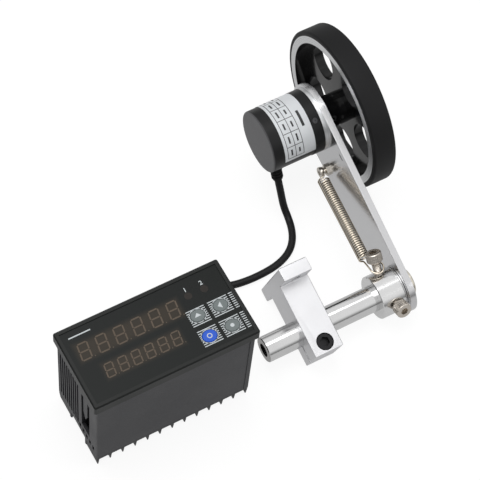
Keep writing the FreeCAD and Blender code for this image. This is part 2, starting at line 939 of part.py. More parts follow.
def sensor_block():
    """A slotted light gate that the edge of the code disc turns in."""
    x0 = encoder_board_x + board_thickness
    x1 = disc_x + disc_thickness / 2 + sensor_slot / 2 + sensor_lip
    half = sensor_width / 2
    body = block(x0, x1, wheel_y - half, wheel_y + half,
                 wheel_z + sensor_inner, wheel_z + sensor_outer)
    middle = disc_x + disc_thickness / 2
    slot = block(middle - sensor_slot / 2, middle + sensor_slot / 2,
                 wheel_y - half - overrun, wheel_y + half + overrun,
                 wheel_z + sensor_inner - overrun, wheel_z + disc_radius + 2 * moving_gap)
    return body.cut(slot)


def cable_gland():
    """The ribbed strain relief, turned round the direction that it points in."""
    side = X
    base = along(wheel_axis, gland_x)
    root = housing_radius + seat_gap
    outline = [
        (gland_bore_radius, housing_bore),
        (gland_neck_radius, housing_bore),
        (gland_neck_radius, root),
        (gland_root_radius, root),
        (gland_root_radius, root + gland_root_length),
    ]
    place = root + gland_root_length
    for i in range(gland_ribs):
        outline += [
            (gland_neck_radius, place),
            (gland_neck_radius, place + gland_rib_gap),
            (gland_rib_radius, place + gland_rib_gap),
            (gland_rib_radius, place + gland_rib_gap + gland_rib_length),
        ]
        place += gland_rib_gap + gland_rib_length
    outline += [(gland_neck_radius, place), (gland_neck_radius, gland_reach),
                (gland_bore_radius, gland_reach)]
    points = [base + gland_way * reach + side * radius for radius, reach in outline]
    return spun(points, base, gland_way)


# Swing arm and what it carries

def arm_point(x, u, w):
    return along(rod_axis, x) + arm_u * u + arm_w * w


def swing_arm():
    """A flat bar with two round ends of different radius."""
    lean = (arm_head_radius - arm_tail_radius) / arm_centres
    straight = math.sqrt(1 - lean * lean)
    corners = []
    for side in (1, -1):
        tail = arm_point(arm_face_x, -arm_tail_radius * lean, side * arm_tail_radius * straight)
        head = arm_point(arm_face_x, arm_centres - arm_head_radius * lean,
                         side * arm_head_radius * straight)
        corners.append((tail, head))
    tail_end = arm_point(arm_face_x, -arm_tail_radius, 0)
    head_end = arm_point(arm_face_x, arm_centres + arm_head_radius, 0)
    wire = Part.Wire([
        Part.LineSegment(corners[0][0], corners[0][1]).toShape(),
        Part.Arc(corners[0][1], head_end, corners[1][1]).toShape(),
        Part.LineSegment(corners[1][1], corners[1][0]).toShape(),
        Part.Arc(corners[1][0], tail_end, corners[0][0]).toShape(),
    ])
    plate = Part.Face(wire).extrude(X * arm_thickness)
    bush_radius = bolt_shoulder_radius + running_gap + bush_wall
    cuts = [
        turned(rod_axis, arm_face_x - overrun, arm_back_x + overrun, bush_radius + seat_gap),
        turned(wheel_axis, arm_face_x - overrun, arm_back_x + overrun, pilot_radius + seat_gap),
        peg(arm_point(arm_face_x - overrun, post_u, post_w), X, post_radius + seat_gap,
            arm_thickness + 2 * overrun),
    ]
    for way in flange_screw_ways():
        cuts.append(countersunk(way, seat_gap))
    return plate.cut(Part.makeCompound(cuts))


def countersunk(way, gap):
    """A flat-head screw shape from the far face of the arm toward the encoder."""
    start = along(wheel_axis, arm_back_x) + way * flange_screw_place
    drop = flange_screw_head - flange_screw_radius
    cone = Part.makeCone(flange_screw_head + gap, flange_screw_radius + gap, drop, start, X * -1)
    shank = peg(start, X * -1, flange_screw_radius + gap, flange_screw_length)
    return cone.fuse(shank).removeSplitter()


def flange_screws():
    solids = []
    for way in flange_screw_ways():
        start = along(wheel_axis, arm_back_x + overrun) + way * flange_screw_place
        drop = flange_screw_head - flange_screw_radius
        key = hexagon(start, X * -1, flange_screw_radius * hex_key_depth_share * 2,
                      drop + overrun)
        solids.append(countersunk(way, 0).cut(key))
    return solids


def pivot_bush():
    outer = bolt_shoulder_radius + running_gap + bush_wall
    return tube(rod_axis, arm_face_x - thrust_gap / 2, arm_back_x + thrust_gap / 2, outer,
                bolt_shoulder_radius + running_gap)


def spacer_washer():
    return tube(rod_axis, rod_end_x, arm_face_x - thrust_gap * 1.5, spacer_radius,
                bolt_shoulder_radius + seat_gap)


def outer_washer():
    x0 = arm_back_x + thrust_gap * 1.5
    return tube(rod_axis, x0, x0 + washer_thickness, washer_radius,
                bolt_shoulder_radius + seat_gap)


def pivot_bolt():
    head_x = arm_back_x + thrust_gap * 1.5 + washer_thickness
    head = turned(rod_axis, head_x, head_x + bolt_head_height, bolt_head_radius)
    head = chamfered_end(head, bolt_head_edge, X, head_x + bolt_head_height)
    top = along(rod_axis, head_x + bolt_head_height + overrun)
    head = head.cut(hexagon(top, X * -1, bolt_key_radius,
                            bolt_head_height * hex_key_depth_share + overrun))
    shoulder = turned(rod_axis, rod_end_x, head_x, bolt_shoulder_radius)
    thread = turned(rod_axis, rod_end_x - bolt_thread_length, rod_end_x, bolt_thread_radius)
    return head.fuse([shoulder, thread]).removeSplitter()


def post_head_x():
    return arm_face_x - post_neck_setback - post_head_gap


def spring_post():
    """A slotted screw through the arm, with its head standing off for the hook."""
    head_x = post_head_x()
    start = arm_point(head_x, post_u, post_w)
    head = peg(start - X * post_head_height, X, post_head_radius, post_head_height)
    head = chamfered_end(head, post_head_edge, X, head_x - post_head_height)
    half = post_slot_width / 2
    reach = post_head_radius + overrun
    low = head_x - post_head_height
    slot = prism([
        arm_point(low - overrun, post_u - half, post_w - reach),
        arm_point(low - overrun, post_u + half, post_w - reach),
        arm_point(low - overrun, post_u + half, post_w + reach),
        arm_point(low - overrun, post_u - half, post_w + reach),
    ], X * (overrun + post_slot_depth))
    shank = peg(start, X, post_radius, arm_back_x - head_x)
    return head.cut(slot).fuse(shank).removeSplitter()


def post_nut():
    start = arm_point(arm_face_x, post_u, post_w)
    corner = post_nut_across / 2 / math.cos(math.radians(30))
    nut = hexagon(start, X * -1, corner, post_nut_height)
    return nut.cut(peg(start + X * overrun, X * -1, post_radius + seat_gap,
                       post_nut_height + 2 * overrun))


# Rod, collar and clamp

def support_rod():
    rod = turned(rod_axis, rod_start_x, rod_end_x, rod_radius)
    rod = chamfered_end(rod, rod_edge, X, rod_start_x)
    rod = rod.cut(turned(rod_axis, rod_start_x - overrun, rod_start_x + rod_bore_depth,
                         rod_bore_radius))
    return rod.cut(turned(rod_axis, rod_end_x - bolt_thread_length - overrun,
                          rod_end_x + overrun, bolt_thread_radius + seat_gap))


def pivot_collar():
    start = rod_end_x - collar_length
    body = turned(rod_axis, start, rod_end_x, collar_radius)
    body = chamfered_end(body, collar_edge, X, start)
    body = chamfered_end(body, collar_edge, X, rod_end_x)
    body = body.cut(turned(rod_axis, start - overrun, rod_end_x + overrun, rod_radius + seat_gap))
    for x, degrees in ((anchor_x, anchor_degrees), (lock_x, lock_degrees)):
        body = body.cut(peg(along(rod_axis, x), radial(degrees), m5_radius + seat_gap,
                            collar_radius + overrun))
    return body


def anchor_screw():
    way = radial(anchor_degrees)
    start = along(rod_axis, anchor_x) + way * anchor_head_place
    return socket_screw(start, way, m5_radius, anchor_head_place - rod_radius - seat_gap,
                        m5_head_radius, m5_head_height, m5_key_radius, m5_head_edge)


def lock_screw():
    way = radial(lock_degrees)
    start = along(rod_axis, lock_x) + way * lock_head_place
    return socket_screw(start, way, m5_radius, lock_head_place - rod_radius - seat_gap,
                        m5_head_radius, m5_head_height, m5_key_radius, m5_head_edge)


def clamp_point(x, u, w):
    return along(rod_axis, x) + clamp_u * u + clamp_w * w


def clamp_block():
    """A T-shaped block: split jaw round the rod, stem and screw-on foot."""
    x0 = clamp_start_x
    foot_end = stem_length + foot_thickness
    outline = [
        (-clamp_front, -clamp_half),
        (stem_length, -clamp_half),
        (stem_length, -foot_half),
        (foot_end, -foot_half),
        (foot_end, foot_half),
        (stem_length, foot_half),
        (stem_length, clamp_half),
        (-clamp_front, clamp_half),
    ]
    body = prism([clamp_point(x0, u, w) for u, w in outline], X * clamp_width)
    back = [e for e in body.Edges if e.Length < 2 * foot_half + seat_gap
            and abs((e.CenterOfMass - rod_axis).dot(clamp_u) - foot_end) < seat_gap
            and e.Length > clamp_width + seat_gap]
    body = body.makeChamfer(foot_bevel, back)
    x1 = x0 + clamp_width
    body = body.cut(turned(rod_axis, x0 - overrun, x1 + overrun, rod_radius + running_gap))
    slit = prism([
        clamp_point(x0 - overrun, -clamp_front - overrun, clamp_slit_place - clamp_slit / 2),
        clamp_point(x0 - overrun, 0, clamp_slit_place - clamp_slit / 2),
        clamp_point(x0 - overrun, 0, clamp_slit_place + clamp_slit / 2),
        clamp_point(x0 - overrun, -clamp_front - overrun, clamp_slit_place + clamp_slit / 2),
    ], X * (clamp_width + 2 * overrun))
    body = body.cut(slit)
    screw_top = clamp_point(clamp_middle_x(), clamp_screw_place, clamp_half)
    seat_depth = clamp_head_height + clamp_head_sink
    body = body.cut(peg(screw_top + clamp_w * overrun, clamp_w * -1,
                        clamp_head_radius + seat_gap, seat_depth + overrun))
    body = body.cut(peg(screw_top, clamp_w * -1, clamp_screw_radius + seat_gap,
                        seat_depth + clamp_screw_length + overrun))
    for side in (-1, 1):
        start = clamp_point(clamp_middle_x(), stem_length - overrun, side * foot_hole_place)
        body = body.cut(peg(start, clamp_u, foot_hole_radius, foot_thickness + 2 * overrun))
    return body


def clamp_middle_x():
    return clamp_start_x + clamp_width / 2


def clamp_screw():
    place = clamp_half - clamp_head_sink - clamp_head_height
    start = clamp_point(clamp_middle_x(), clamp_screw_place, place)
    return socket_screw(start, clamp_w, clamp_screw_radius, clamp_screw_length,
                        clamp_head_radius, clamp_head_height, clamp_key_radius, clamp_head_edge)


# Wheel

def wheel_rim():
    """Rim, dished web and hub, turned in one piece and drilled."""
    far = wheel_face_x + tyre_width
    web_near = wheel_face_x + web_setback
    inner = rim_radius - rim_wall
    hub_end = far - hub_end_setback
    bore = shaft_radius + seat_gap
    outline = [
        (hub_face_x, bore),
        (hub_face_x, hub_radius),
        (web_near, hub_radius),
        (web_near + web_dish, inner),
        (wheel_face_x, inner),
        (wheel_face_x, rim_radius),
        (far, rim_radius),
        (far, inner),
        (web_near + web_dish + web_thickness, inner),
        (web_near + web_thickness, hub_radius),
        (hub_end, hub_radius),
        (hub_end, bore),
    ]
    points = [along(wheel_axis, x) + Z * r for x, r in outline]
    body = spun(points, wheel_axis, X)
    for i in range(spoke_hole_count):
        way = radial(spoke_hole_first_degrees + i * 360 / spoke_hole_count)
        start = along(wheel_axis, wheel_face_x) + way * spoke_hole_place
        body = body.cut(peg(start, X, spoke_hole_radius, tyre_width))
    for way in hub_screw_ways():
        body = body.cut(peg(along(wheel_axis, hub_screw_x), way,
                            hub_screw_radius + seat_gap, hub_radius + overrun))
    return body


def hub_screw_ways():
    return [radial(degrees) for degrees in hub_screw_degrees]


def hub_screws():
    solids = []
    foot = shaft_radius + seat_gap
    top = hub_radius - hub_screw_sink
    for way in hub_screw_ways():
        base = along(wheel_axis, hub_screw_x)
        screw = peg(base + way * foot, way, hub_screw_radius, top - foot)
        key = hexagon(base + way * (top + overrun), way * -1,
                      hub_screw_radius * hex_key_depth_share,
                      (top - foot) * hex_key_depth_share + overrun)
        solids.append(screw.cut(key))
    return solids


def wheel_tyre():
    x0 = wheel_face_x
    x1 = wheel_face_x + tyre_width
    outline = [
        (x0, rim_radius + seat_gap / 2),
        (x0, wheel_radius - tyre_edge),
        (x0 + tyre_edge, wheel_radius),
        (x1 - tyre_edge, wheel_radius),
        (x1, wheel_radius - tyre_edge),
        (x1, rim_radius + seat_gap / 2),
    ]
    points = [along(wheel_axis, x) + Z * r for x, r in outline]
    return spun(points, wheel_axis, X)


def encoder_shaft():
    return turned(wheel_axis, shaft_tail_x,
                  wheel_face_x + tyre_width - hub_end_setback - shaft_end_setback, shaft_radius)


# Lead, its wires and the spring: tubes along arcs

def biarc(start, start_way, end, end_way):
    """Two tangent arcs between two points with given directions."""
    chord = end - start
    both = start_way + end_way
    a = both.dot(both) - 4
    b = -2 * chord.dot(both)
    c = chord.dot(chord)
    if abs(a) < 1e-9:
        reach = -c / b
    else:
        reach = (-b - math.sqrt(b * b - 4 * a * c)) / (2 * a)
        if reach < 0:
            reach = (-b + math.sqrt(b * b - 4 * a * c)) / (2 * a)
    p = start + start_way * reach
    q = end - end_way * reach
    middle = (p + q) * 0.5
    return [corner_arc(start, p, middle), corner_arc(middle, q, end)]


def corner_arc(first, corner, last):
    """The arc that leaves first and reaches last, tangent to both legs of a corner."""
    middle = (first + last) * 0.5
    to_corner = corner - middle
    if to_corner.Length < 1e-6:
        return Part.LineSegment(first, last).toShape()
    half_chord = (first - middle).Length
    bulge = half_chord * math.tan(math.atan2(to_corner.Length, half_chord) / 2)
    to_corner.normalize()
    return Part.Arc(first, middle + to_corner * bulge, last).toShape()


def swept(edges, radius, start, way):
    """A round tube along a chain of tangent edges."""
    circle = Part.Wire([Part.Circle(start, way, radius).toShape()])
    return Part.Wire(edges).makePipeShell([circle], True, False)


def lead_path(points):
    """Straight runs joined by arcs, each as large as the two runs beside it allow."""
    edges = []
    radii = []
    at = points[0]
    for before, corner, after in zip(points, points[1:], points[2:]):
        way_in = (corner - before).normalize()
        way_out = (after - corner).normalize()
        turn = way_in.getAngle(way_out)
        shorter = min((corner - before).Length, (after - corner).Length)
        reach = run_arc_share * shorter
        radii.append(reach / math.tan(turn / 2))
        first = corner - way_in * reach
        last = corner + way_out * reach
        edges.append(Part.LineSegment(at, first).toShape())
        edges.append(corner_arc(first, corner, last))
        at = last
    edges.append(Part.LineSegment(at, points[-1]).toShape())
    return edges, radii


def lead():
    points = [Vec(*place) for place in lead_route]
    points[0] = along(wheel_axis, gland_x) + gland_way * gland_reach
    points[1] = points[0] + gland_way * (points[1] - points[0]).Length
    edges, radii = lead_path(points)
    solid = swept(edges, lead_radius, points[0], gland_way)
    length = sum(edge.Length for edge in edges)
    print("lead length", round(length, 1), "radii", [round(r, 1) for r in radii])
    print("lead volume over section times length",
          round(solid.Volume / (math.pi * lead_radius ** 2 * length), 5))
    return solid


def lead_sleeve():
    start = Vec(*lead_route[-1])
    return peg(start, Y * -1, sleeve_radius, sleeve_length)


def lead_wires():
    """Four cores that part at the sleeve and run into four neighbouring terminals."""
    sleeve_x, sleeve_y, sleeve_z = lead_route[-1]
    sleeve_end = sleeve_y - sleeve_length
    room = sleeve_end - case_width / 2
    clamp_edge = clamp_plate_y + terminal_clamp_length / 2
    height = shelf_bottom - wire_radius - seat_gap
    solids = []
    for i in range(wire_count):
        across = (wire_count - 1) / 2 - i
        turn_share = outer_wire_turn_share if abs(across) > 1 else inner_wire_turn_share
        turn_y = sleeve_end - room * turn_share
        start = Vec(sleeve_x - across * wire_pitch, sleeve_end, sleeve_z)
        end = Vec(cell_x(wire_first_cell + i), clamp_edge, height)
        edges, _ = lead_path([start, Vec(start.x, turn_y, sleeve_z),
                              Vec(end.x, turn_y, height), end])
        solids.append(swept(edges, wire_radius, start, Y))
    return solids


def hook_nodes(centre, way, side, radius):
    """Points and directions of an open hook that comes in along way beside centre."""
    nodes = []
    for i in range(hook_steps + 1):
        angle = math.radians(hook_sweep_degrees * i / hook_steps)
        out = side * math.cos(angle) + way * math.sin(angle)
        run = way * math.cos(angle) - side * math.sin(angle)
        nodes.append((centre + out * radius, run))
    return nodes


def spring_nodes():
    """Hook at the anchor, coil, hook at the post: each place with its direction."""
    post_neck = arm_point(arm_face_x - post_neck_setback, post_u, post_w)
    anchor_neck = along(rod_axis, anchor_x) + radial(anchor_degrees) * anchor_neck_place
    way = (post_neck - anchor_neck).normalize()
    rim = (X - way * X.dot(way)).normalize()
    side = way.cross(rim)
    lean = abs(radial(anchor_degrees).dot(side))
    anchor_hook = m5_radius / lean + spring_wire_radius + hook_gap
    post_hook = post_radius + spring_wire_radius + hook_gap

    coil_start = anchor_neck + way * coil_anchor_setback - rim * coil_anchor_side
    coil_end = post_neck - way * coil_post_setback - rim * coil_post_side
    coil_way = (coil_end - coil_start).normalize()
    coil_rim = (X - coil_way * X.dot(coil_way)).normalize()
    coil_side = coil_way.cross(coil_rim)
    pitch = (coil_end - coil_start).Length / spring_turns
    slope = pitch / (2 * math.pi * spring_radius)

    start_nodes = hook_nodes(anchor_neck, way * -1, rim * -1, anchor_hook)
    nodes = [(point, run * -1) for point, run in reversed(start_nodes)]
    half_turns = 2 * spring_turns - 1
    for i in range(half_turns + 1):
        angle = math.pi * (i + 0.5)
        out = coil_rim * math.cos(angle) + coil_side * math.sin(angle)
        run = coil_side * math.cos(angle) - coil_rim * math.sin(angle)
        rise = pitch * angle / (2 * math.pi)
        nodes.append((coil_start + out * spring_radius + coil_way * rise,
                      (run + coil_way * slope).normalize()))
    nodes += hook_nodes(post_neck, way, side * -1, post_hook)
    return nodes


def least_gap(edges, radius):
    """The least air between stretches of a tube that lie apart along its path."""
    points = []
    for edge in edges:
        count = max(int(edge.Length / (radius / 2)), 2)
        points += edge.discretize(Number=count)[:-1]
    apart = int(math.pi * spring_radius / (radius / 2))
    best = math.inf
    for i, point in enumerate(points):
        for other in points[i + apart:i + 6 * apart]:
            best = min(best, point.distanceToPoint(other))
    return best - 2 * radius


def tension_spring():
    nodes = spring_nodes()
    edges = []
    for (start, start_way), (end, end_way) in zip(nodes, nodes[1:]):
        edges += biarc(start, start_way, end, end_way)
    radii = [edge.Curve.Radius for edge in edges if isinstance(edge.Curve, Part.Circle)]
    solid = swept(edges, spring_wire_radius, nodes[0][0], nodes[0][1])
    length = sum(edge.Length for edge in edges)
    print("spring least radius", round(min(radii), 2), "least gap to itself",
          round(least_gap(edges, spring_wire_radius), 3))
    print("spring volume over section times length",
          round(solid.Volume / (math.pi * spring_wire_radius ** 2 * length), 5))
    return solid


# Writing the pieces

save("case_shell", case_shell())
save("front_bezel", front_bezel())
save("front_sheet", front_sheet())
save("display_filter", filter_box(floor_back, sheet_back, 0))
save("display_upper", display_module(upper_row(0)))
save("display_lower", display_module(lower_row(0)))
for key_name, key_place in keys.items():
    save(key_name, front_key(*key_place))
save("key_switches", *[key_switch(*place) for place in keys.values()])
save("alarm_lamps", *[lamp(x) for x in lamp_places])
save("display_board", display_board())
save("main_board", upright_board(main_board_y))
save("power_board", upright_board(power_board_y))
save("board_headers", *board_headers())
save("transformer", *transformer())
save("relays", *relays())
save("capacitors", *capacitors())
save("control_chip", control_chip())
save("rear_plate", rear_plate())
save("terminal_block_front", terminal_block(-1))
save("terminal_block_back", terminal_block(1))
save("terminal_screws", *[terminal_screw(cell_x(i), side)
                          for side in (-1, 1) for i in range(rib_gaps)])
save("terminal_clamps", *[terminal_clamp(cell_x(i), side)
                          for side in (-1, 1) for i in range(rib_gaps)])

save("encoder_housing", encoder_housing())
save("encoder_label", encoder_label())
save("encoder_grub_screws", *grub_screws())
save("encoder_flange", encoder_flange())
save("bearing_outer_rings", *bearing_outer_rings())
save("bearing_inner_rings", *bearing_inner_rings())
save("bearing_balls", *bearing_balls())
save("encoder_shaft", encoder_shaft())
save("code_disc", code_disc())
save("encoder_board", encoder_board())
save("board_posts", *board_posts())
save("sensor_block", sensor_block())
save("cable_gland", cable_gland())

save("swing_arm", swing_arm())
save("flange_screws", *flange_screws())
save("pivot_bush", pivot_bush())
save("spacer_washer", spacer_washer())
save("outer_washer", outer_washer())
save("pivot_bolt", pivot_bolt())
save("spring_post", spring_post())
save("post_nut", post_nut())
save("support_rod", support_rod())
save("pivot_collar", pivot_collar())
save("anchor_screw", anchor_screw())
save("lock_screw", lock_screw())
save("clamp_block", clamp_block())
save("clamp_screw", clamp_screw())

save("wheel_rim", wheel_rim())
save("wheel_tyre", wheel_tyre())
save("hub_screws", *hub_screws())

save("lead", lead())
save("lead_sleeve", lead_sleeve())
save("lead_wires", *lead_wires())
save("tension_spring", tension_spring())
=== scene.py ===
import math

import bmesh
import bpy
from mathutils import Matrix, Vector


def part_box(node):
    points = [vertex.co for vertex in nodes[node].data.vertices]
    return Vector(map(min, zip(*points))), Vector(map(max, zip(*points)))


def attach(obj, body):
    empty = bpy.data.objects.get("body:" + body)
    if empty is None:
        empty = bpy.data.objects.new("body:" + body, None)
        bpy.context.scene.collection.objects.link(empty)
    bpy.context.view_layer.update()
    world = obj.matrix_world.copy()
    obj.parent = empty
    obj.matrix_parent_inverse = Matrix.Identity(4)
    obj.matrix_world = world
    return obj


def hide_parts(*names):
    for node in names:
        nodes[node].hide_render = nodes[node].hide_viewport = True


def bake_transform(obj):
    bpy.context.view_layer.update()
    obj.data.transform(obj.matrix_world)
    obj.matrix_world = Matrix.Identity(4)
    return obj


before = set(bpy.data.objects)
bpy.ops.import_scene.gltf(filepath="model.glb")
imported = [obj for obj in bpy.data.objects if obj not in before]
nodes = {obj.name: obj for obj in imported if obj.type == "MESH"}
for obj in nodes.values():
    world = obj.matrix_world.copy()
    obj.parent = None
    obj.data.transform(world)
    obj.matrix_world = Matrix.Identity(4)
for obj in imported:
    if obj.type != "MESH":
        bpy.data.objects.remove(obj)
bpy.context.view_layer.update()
bpy.ops.object.select_all(action="DESELECT")


# The photograph's camera: a long lens that looks down on the counter from the meter's
# near left corner.
camera_place = Vector((-0.3053, -0.46164, 1.0499))
camera_right = Vector((0.87378, -0.48267, 0.05949))
camera_up = Vector((0.39999, 0.78286, 0.47660))
camera_lens = 157.6

camera_data = bpy.data.cameras.new("camera")
camera_data.lens = camera_lens
camera_data.clip_start = 0.05
camera = bpy.data.objects.new("camera", camera_data)
turned_view = Matrix((camera_right, camera_up, camera_right.cross(camera_up))).transposed()
camera.matrix_world = Matrix.Translation(camera_place) @ turned_view.to_4x4()
bpy.context.collection.objects.link(camera)
bpy.context.scene.camera = camera
bpy.context.scene.view_settings.view_transform = "Standard"


# The studio: a white room with one large soft lamp overhead and a weaker one beside it.
# Metal sees the room bright overhead and dimmer near the horizon.
def link(tree, source, target):
    tree.links.new(source, target)


def math_node(tree, operation, first, second=None):
    """A sum, product or other operation on values or numbers."""
    node = tree.nodes.new("ShaderNodeMath")
    node.operation = operation
    for socket, value in zip(node.inputs, (first, second)):
        if value is None:
            continue
        if isinstance(value, (int, float)):
            socket.default_value = value
        else:
            link(tree, value, socket)
    return node.outputs[0]


def spread(tree, value, low, high, start=0.3, end=0.7, smooth=False):
    """Brings a value that runs from start to end to the range from low to high."""
    node = tree.nodes.new("ShaderNodeMapRange")
    node.interpolation_type = "SMOOTHSTEP" if smooth else "LINEAR"
    link(tree, value, node.inputs["Value"])
    node.inputs["From Min"].default_value = start
    node.inputs["From Max"].default_value = end
    node.inputs["To Min"].default_value = low
    node.inputs["To Max"].default_value = high
    return node.outputs["Result"]


def seen_as_background(tree):
    """One for the camera and for what metal and glass show, else zero."""
    rays = tree.nodes.new("ShaderNodeLightPath")
    seen = math_node(tree, "MAXIMUM", rays.outputs["Is Camera Ray"], rays.outputs["Is Glossy Ray"])
    return math_node(tree, "MAXIMUM", seen, rays.outputs["Is Transmission Ray"])


room_light = 0.50
left_light = 0.25
horizon_light = 0.26
lamp_power = 5.2
side_power = 1.4

room = bpy.data.worlds.new("white_room")
room.use_nodes = True
bpy.context.scene.world = room
tree = room.node_tree
backdrop = tree.nodes["Background"]
backdrop.inputs["Color"].default_value = (1, 1, 1, 1)
way_out = tree.nodes.new("ShaderNodeTexCoord")
parts = tree.nodes.new("ShaderNodeSeparateXYZ")
link(tree, way_out.outputs["Generated"], parts.inputs["Vector"])
rays = tree.nodes.new("ShaderNodeLightPath")
overhead = spread(tree, parts.outputs["Z"], horizon_light, 1.0, 0.05, 0.55, smooth=True)
mirrored = math_node(tree, "MAXIMUM", overhead, rays.outputs["Is Camera Ray"])
dim_left = spread(tree, parts.outputs["X"], left_light, room_light, -0.8, 0.2)
seen = seen_as_background(tree)
plain = math_node(tree, "MULTIPLY", math_node(tree, "SUBTRACT", 1.0, seen), dim_left)
shown = math_node(tree, "MULTIPLY", mirrored, seen)
link(tree, math_node(tree, "ADD", plain, shown), backdrop.inputs["Strength"])


def soft_lamp(name, place, aim, size, power):
    """A square lamp at a place, turned towards a point."""
    data = bpy.data.lights.new(name, "AREA")
    data.shape = "SQUARE"
    data.size = size
    data.energy = power
    lamp = bpy.data.objects.new(name, data)
    way = Vector(aim) - Vector(place)
    lamp.matrix_world = Matrix.Translation(place) @ way.to_track_quat("-Z", "Y").to_matrix().to_4x4()
    bpy.context.collection.objects.link(lamp)


soft_lamp("overhead_lamp", (-0.10, 0.15, 1.00), (0, 0, 0), 0.80, lamp_power)
soft_lamp("side_lamp", (0.75, -0.55, 0.60), (0, 0, 0.03), 0.50, side_power)


# The table: a wide white sheet of paper that keeps a faint shadow.
def new_finish(name):
    """A material with nothing but its shader; each finish adds its own grain."""
    finish = bpy.data.materials.new(name)
    finish.use_nodes = True
    return finish, finish.node_tree, finish.node_tree.nodes["Principled BSDF"]


paper_glow = 0.89
paper_mirrored = 0.56
paper_shadow = 0.16

bpy.ops.mesh.primitive_plane_add(size=6)
table = bpy.context.object
table.name = "table"
paper, tree, shader = new_finish("white_paper")
shader.inputs["Base Color"].default_value = (0.8, 0.8, 0.8, 1)
shader.inputs["Roughness"].default_value = 0.9
shader.inputs["Specular IOR Level"].default_value = 0.0
faint = tree.nodes.new("ShaderNodeBsdfDiffuse")
faint.inputs["Color"].default_value = (paper_shadow, paper_shadow, paper_shadow, 1)
glow = tree.nodes.new("ShaderNodeEmission")
rays = tree.nodes.new("ShaderNodeLightPath")
link(tree, spread(tree, rays.outputs["Is Camera Ray"], paper_mirrored, paper_glow, 0.0, 1.0),
     glow.inputs["Strength"])
lit = tree.nodes.new("ShaderNodeAddShader")
link(tree, faint.outputs[0], lit.inputs[0])
link(tree, glow.outputs[0], lit.inputs[1])
choice = tree.nodes.new("ShaderNodeMixShader")
link(tree, seen_as_background(tree), choice.inputs[0])
link(tree, shader.outputs[0], choice.inputs[1])
link(tree, lit.outputs[0], choice.inputs[2])
link(tree, choice.outputs[0], tree.nodes["Material Output"].inputs["Surface"])
table.data.materials.append(paper)


# The lead: a black round sheath of 4.3 mm that leaves the encoder's gland, bends onto the
# table and runs under the meter's back edge to its sleeve.
def screen_colour(red, green, blue):
    """A colour as a screen shows it, from 0 to 255, as the shader takes it."""
    parts = []
    for level in (red, green, blue):
        share = level / 255
        parts.append(share / 12.92 if share <= 0.04045 else ((share + 0.055) / 1.055) ** 2.4)
    return (*parts, 1)


def place_on(tree, stretch=(1, 1, 1)):
    """The piece's own coordinates, stretched across its grain."""
    place = tree.nodes.new("ShaderNodeTexCoord")
    mapping = tree.nodes.new("ShaderNodeMapping")
    mapping.inputs["Scale"].default_value = stretch
    link(tree, place.outputs["Object"], mapping.inputs["Vector"])
    return mapping.outputs["Vector"]


def grain(tree, place, scale, detail=3.0):
    noise = tree.nodes.new("ShaderNodeTexNoise")
    noise.inputs["Scale"].default_value = scale
    noise.inputs["Detail"].default_value = detail
    link(tree, place, noise.inputs["Vector"])
    return noise.outputs["Fac"]


def blended(tree, value, first, second):
    """Two colours, or a colour and another node's colour, mixed by a value."""
    mix = tree.nodes.new("ShaderNodeMix")
    mix.data_type = "RGBA"
    link(tree, value, mix.inputs["Factor"])
    for socket, colour in ((mix.inputs[6], first), (mix.inputs[7], second)):
        if isinstance(colour, tuple):
            socket.default_value = colour
        else:
            link(tree, colour, socket)
    return mix.outputs[2]


def raised(tree, shader, value, height):
    """Bump of a real height in metres."""
    bump = tree.nodes.new("ShaderNodeBump")
    bump.inputs["Distance"].default_value = height
    link(tree, value, bump.inputs["Height"])
    link(tree, bump.outputs["Normal"], shader.inputs["Normal"])


def moulded(name, colour, rough, pebble=2200, height=0.000015, lustre=0.5):
    """Moulded or extruded plastic and rubber: a fine pebble and slightly uneven sheen."""
    finish, tree, shader = new_finish(name)
    fine = grain(tree, place_on(tree), pebble, 4.0)
    broad = grain(tree, place_on(tree), 45)
    darker = tuple(level * 0.86 for level in colour[:3]) + (1,)
    lighter = tuple(min(level * 1.12, 1) for level in colour[:3]) + (1,)
    link(tree, blended(tree, broad, darker, lighter), shader.inputs["Base Color"])
    uneven = math_node(tree, "ADD", math_node(tree, "MULTIPLY", fine, 0.5),
                       math_node(tree, "MULTIPLY", broad, 0.5))
    link(tree, spread(tree, uneven, rough - 0.06, rough + 0.06), shader.inputs["Roughness"])
    shader.inputs["Specular IOR Level"].default_value = lustre
    raised(tree, shader, fine, height)
    return finish


def soft_line(name, points):
    """A smooth line drawn by its control points."""
    curve = bpy.data.curves.new(name, "CURVE")
    curve.dimensions = "3D"
    curve.resolution_u = 12
    spline = curve.splines.new("NURBS")
    spline.points.add(len(points) - 1)
    for knot, point in zip(spline.points, points):
        knot.co = (*point, 1)
    spline.order_u = 3
    spline.use_endpoint_u = True
    line = bpy.data.objects.new(name, curve)
    bpy.context.collection.objects.link(line)
    return line


def points_along(line):
    """The points of a bare curve, from its first end to its last."""
    mesh = bpy.data.meshes.new_from_object(line)
    points = [vertex.co.copy() for vertex in mesh.vertices]
    bpy.data.meshes.remove(mesh)
    return points


def only(piece):
    """Selects one piece and makes it the active one."""
    bpy.ops.object.select_all(action="DESELECT")
    piece.select_set(True)
    bpy.context.view_layer.objects.active = piece


def as_tube(line, radius, rings=6):
    """Gives a curve its thickness, with closed ends, and makes it a mesh."""
    line.data.bevel_depth = radius
    line.data.bevel_resolution = rings
    line.data.use_fill_caps = True
    only(line)
    bpy.ops.object.convert(target="MESH")
    tube = bpy.context.object
    bpy.ops.object.mode_set(mode="EDIT")
    bpy.ops.mesh.select_all(action="SELECT")
    bpy.ops.mesh.remove_doubles(threshold=radius / 200)
    bpy.ops.mesh.normals_make_consistent(inside=False)
    bpy.ops.object.mode_set(mode="OBJECT")
    bpy.ops.object.shade_smooth_by_angle(angle=math.radians(40))
    return tube


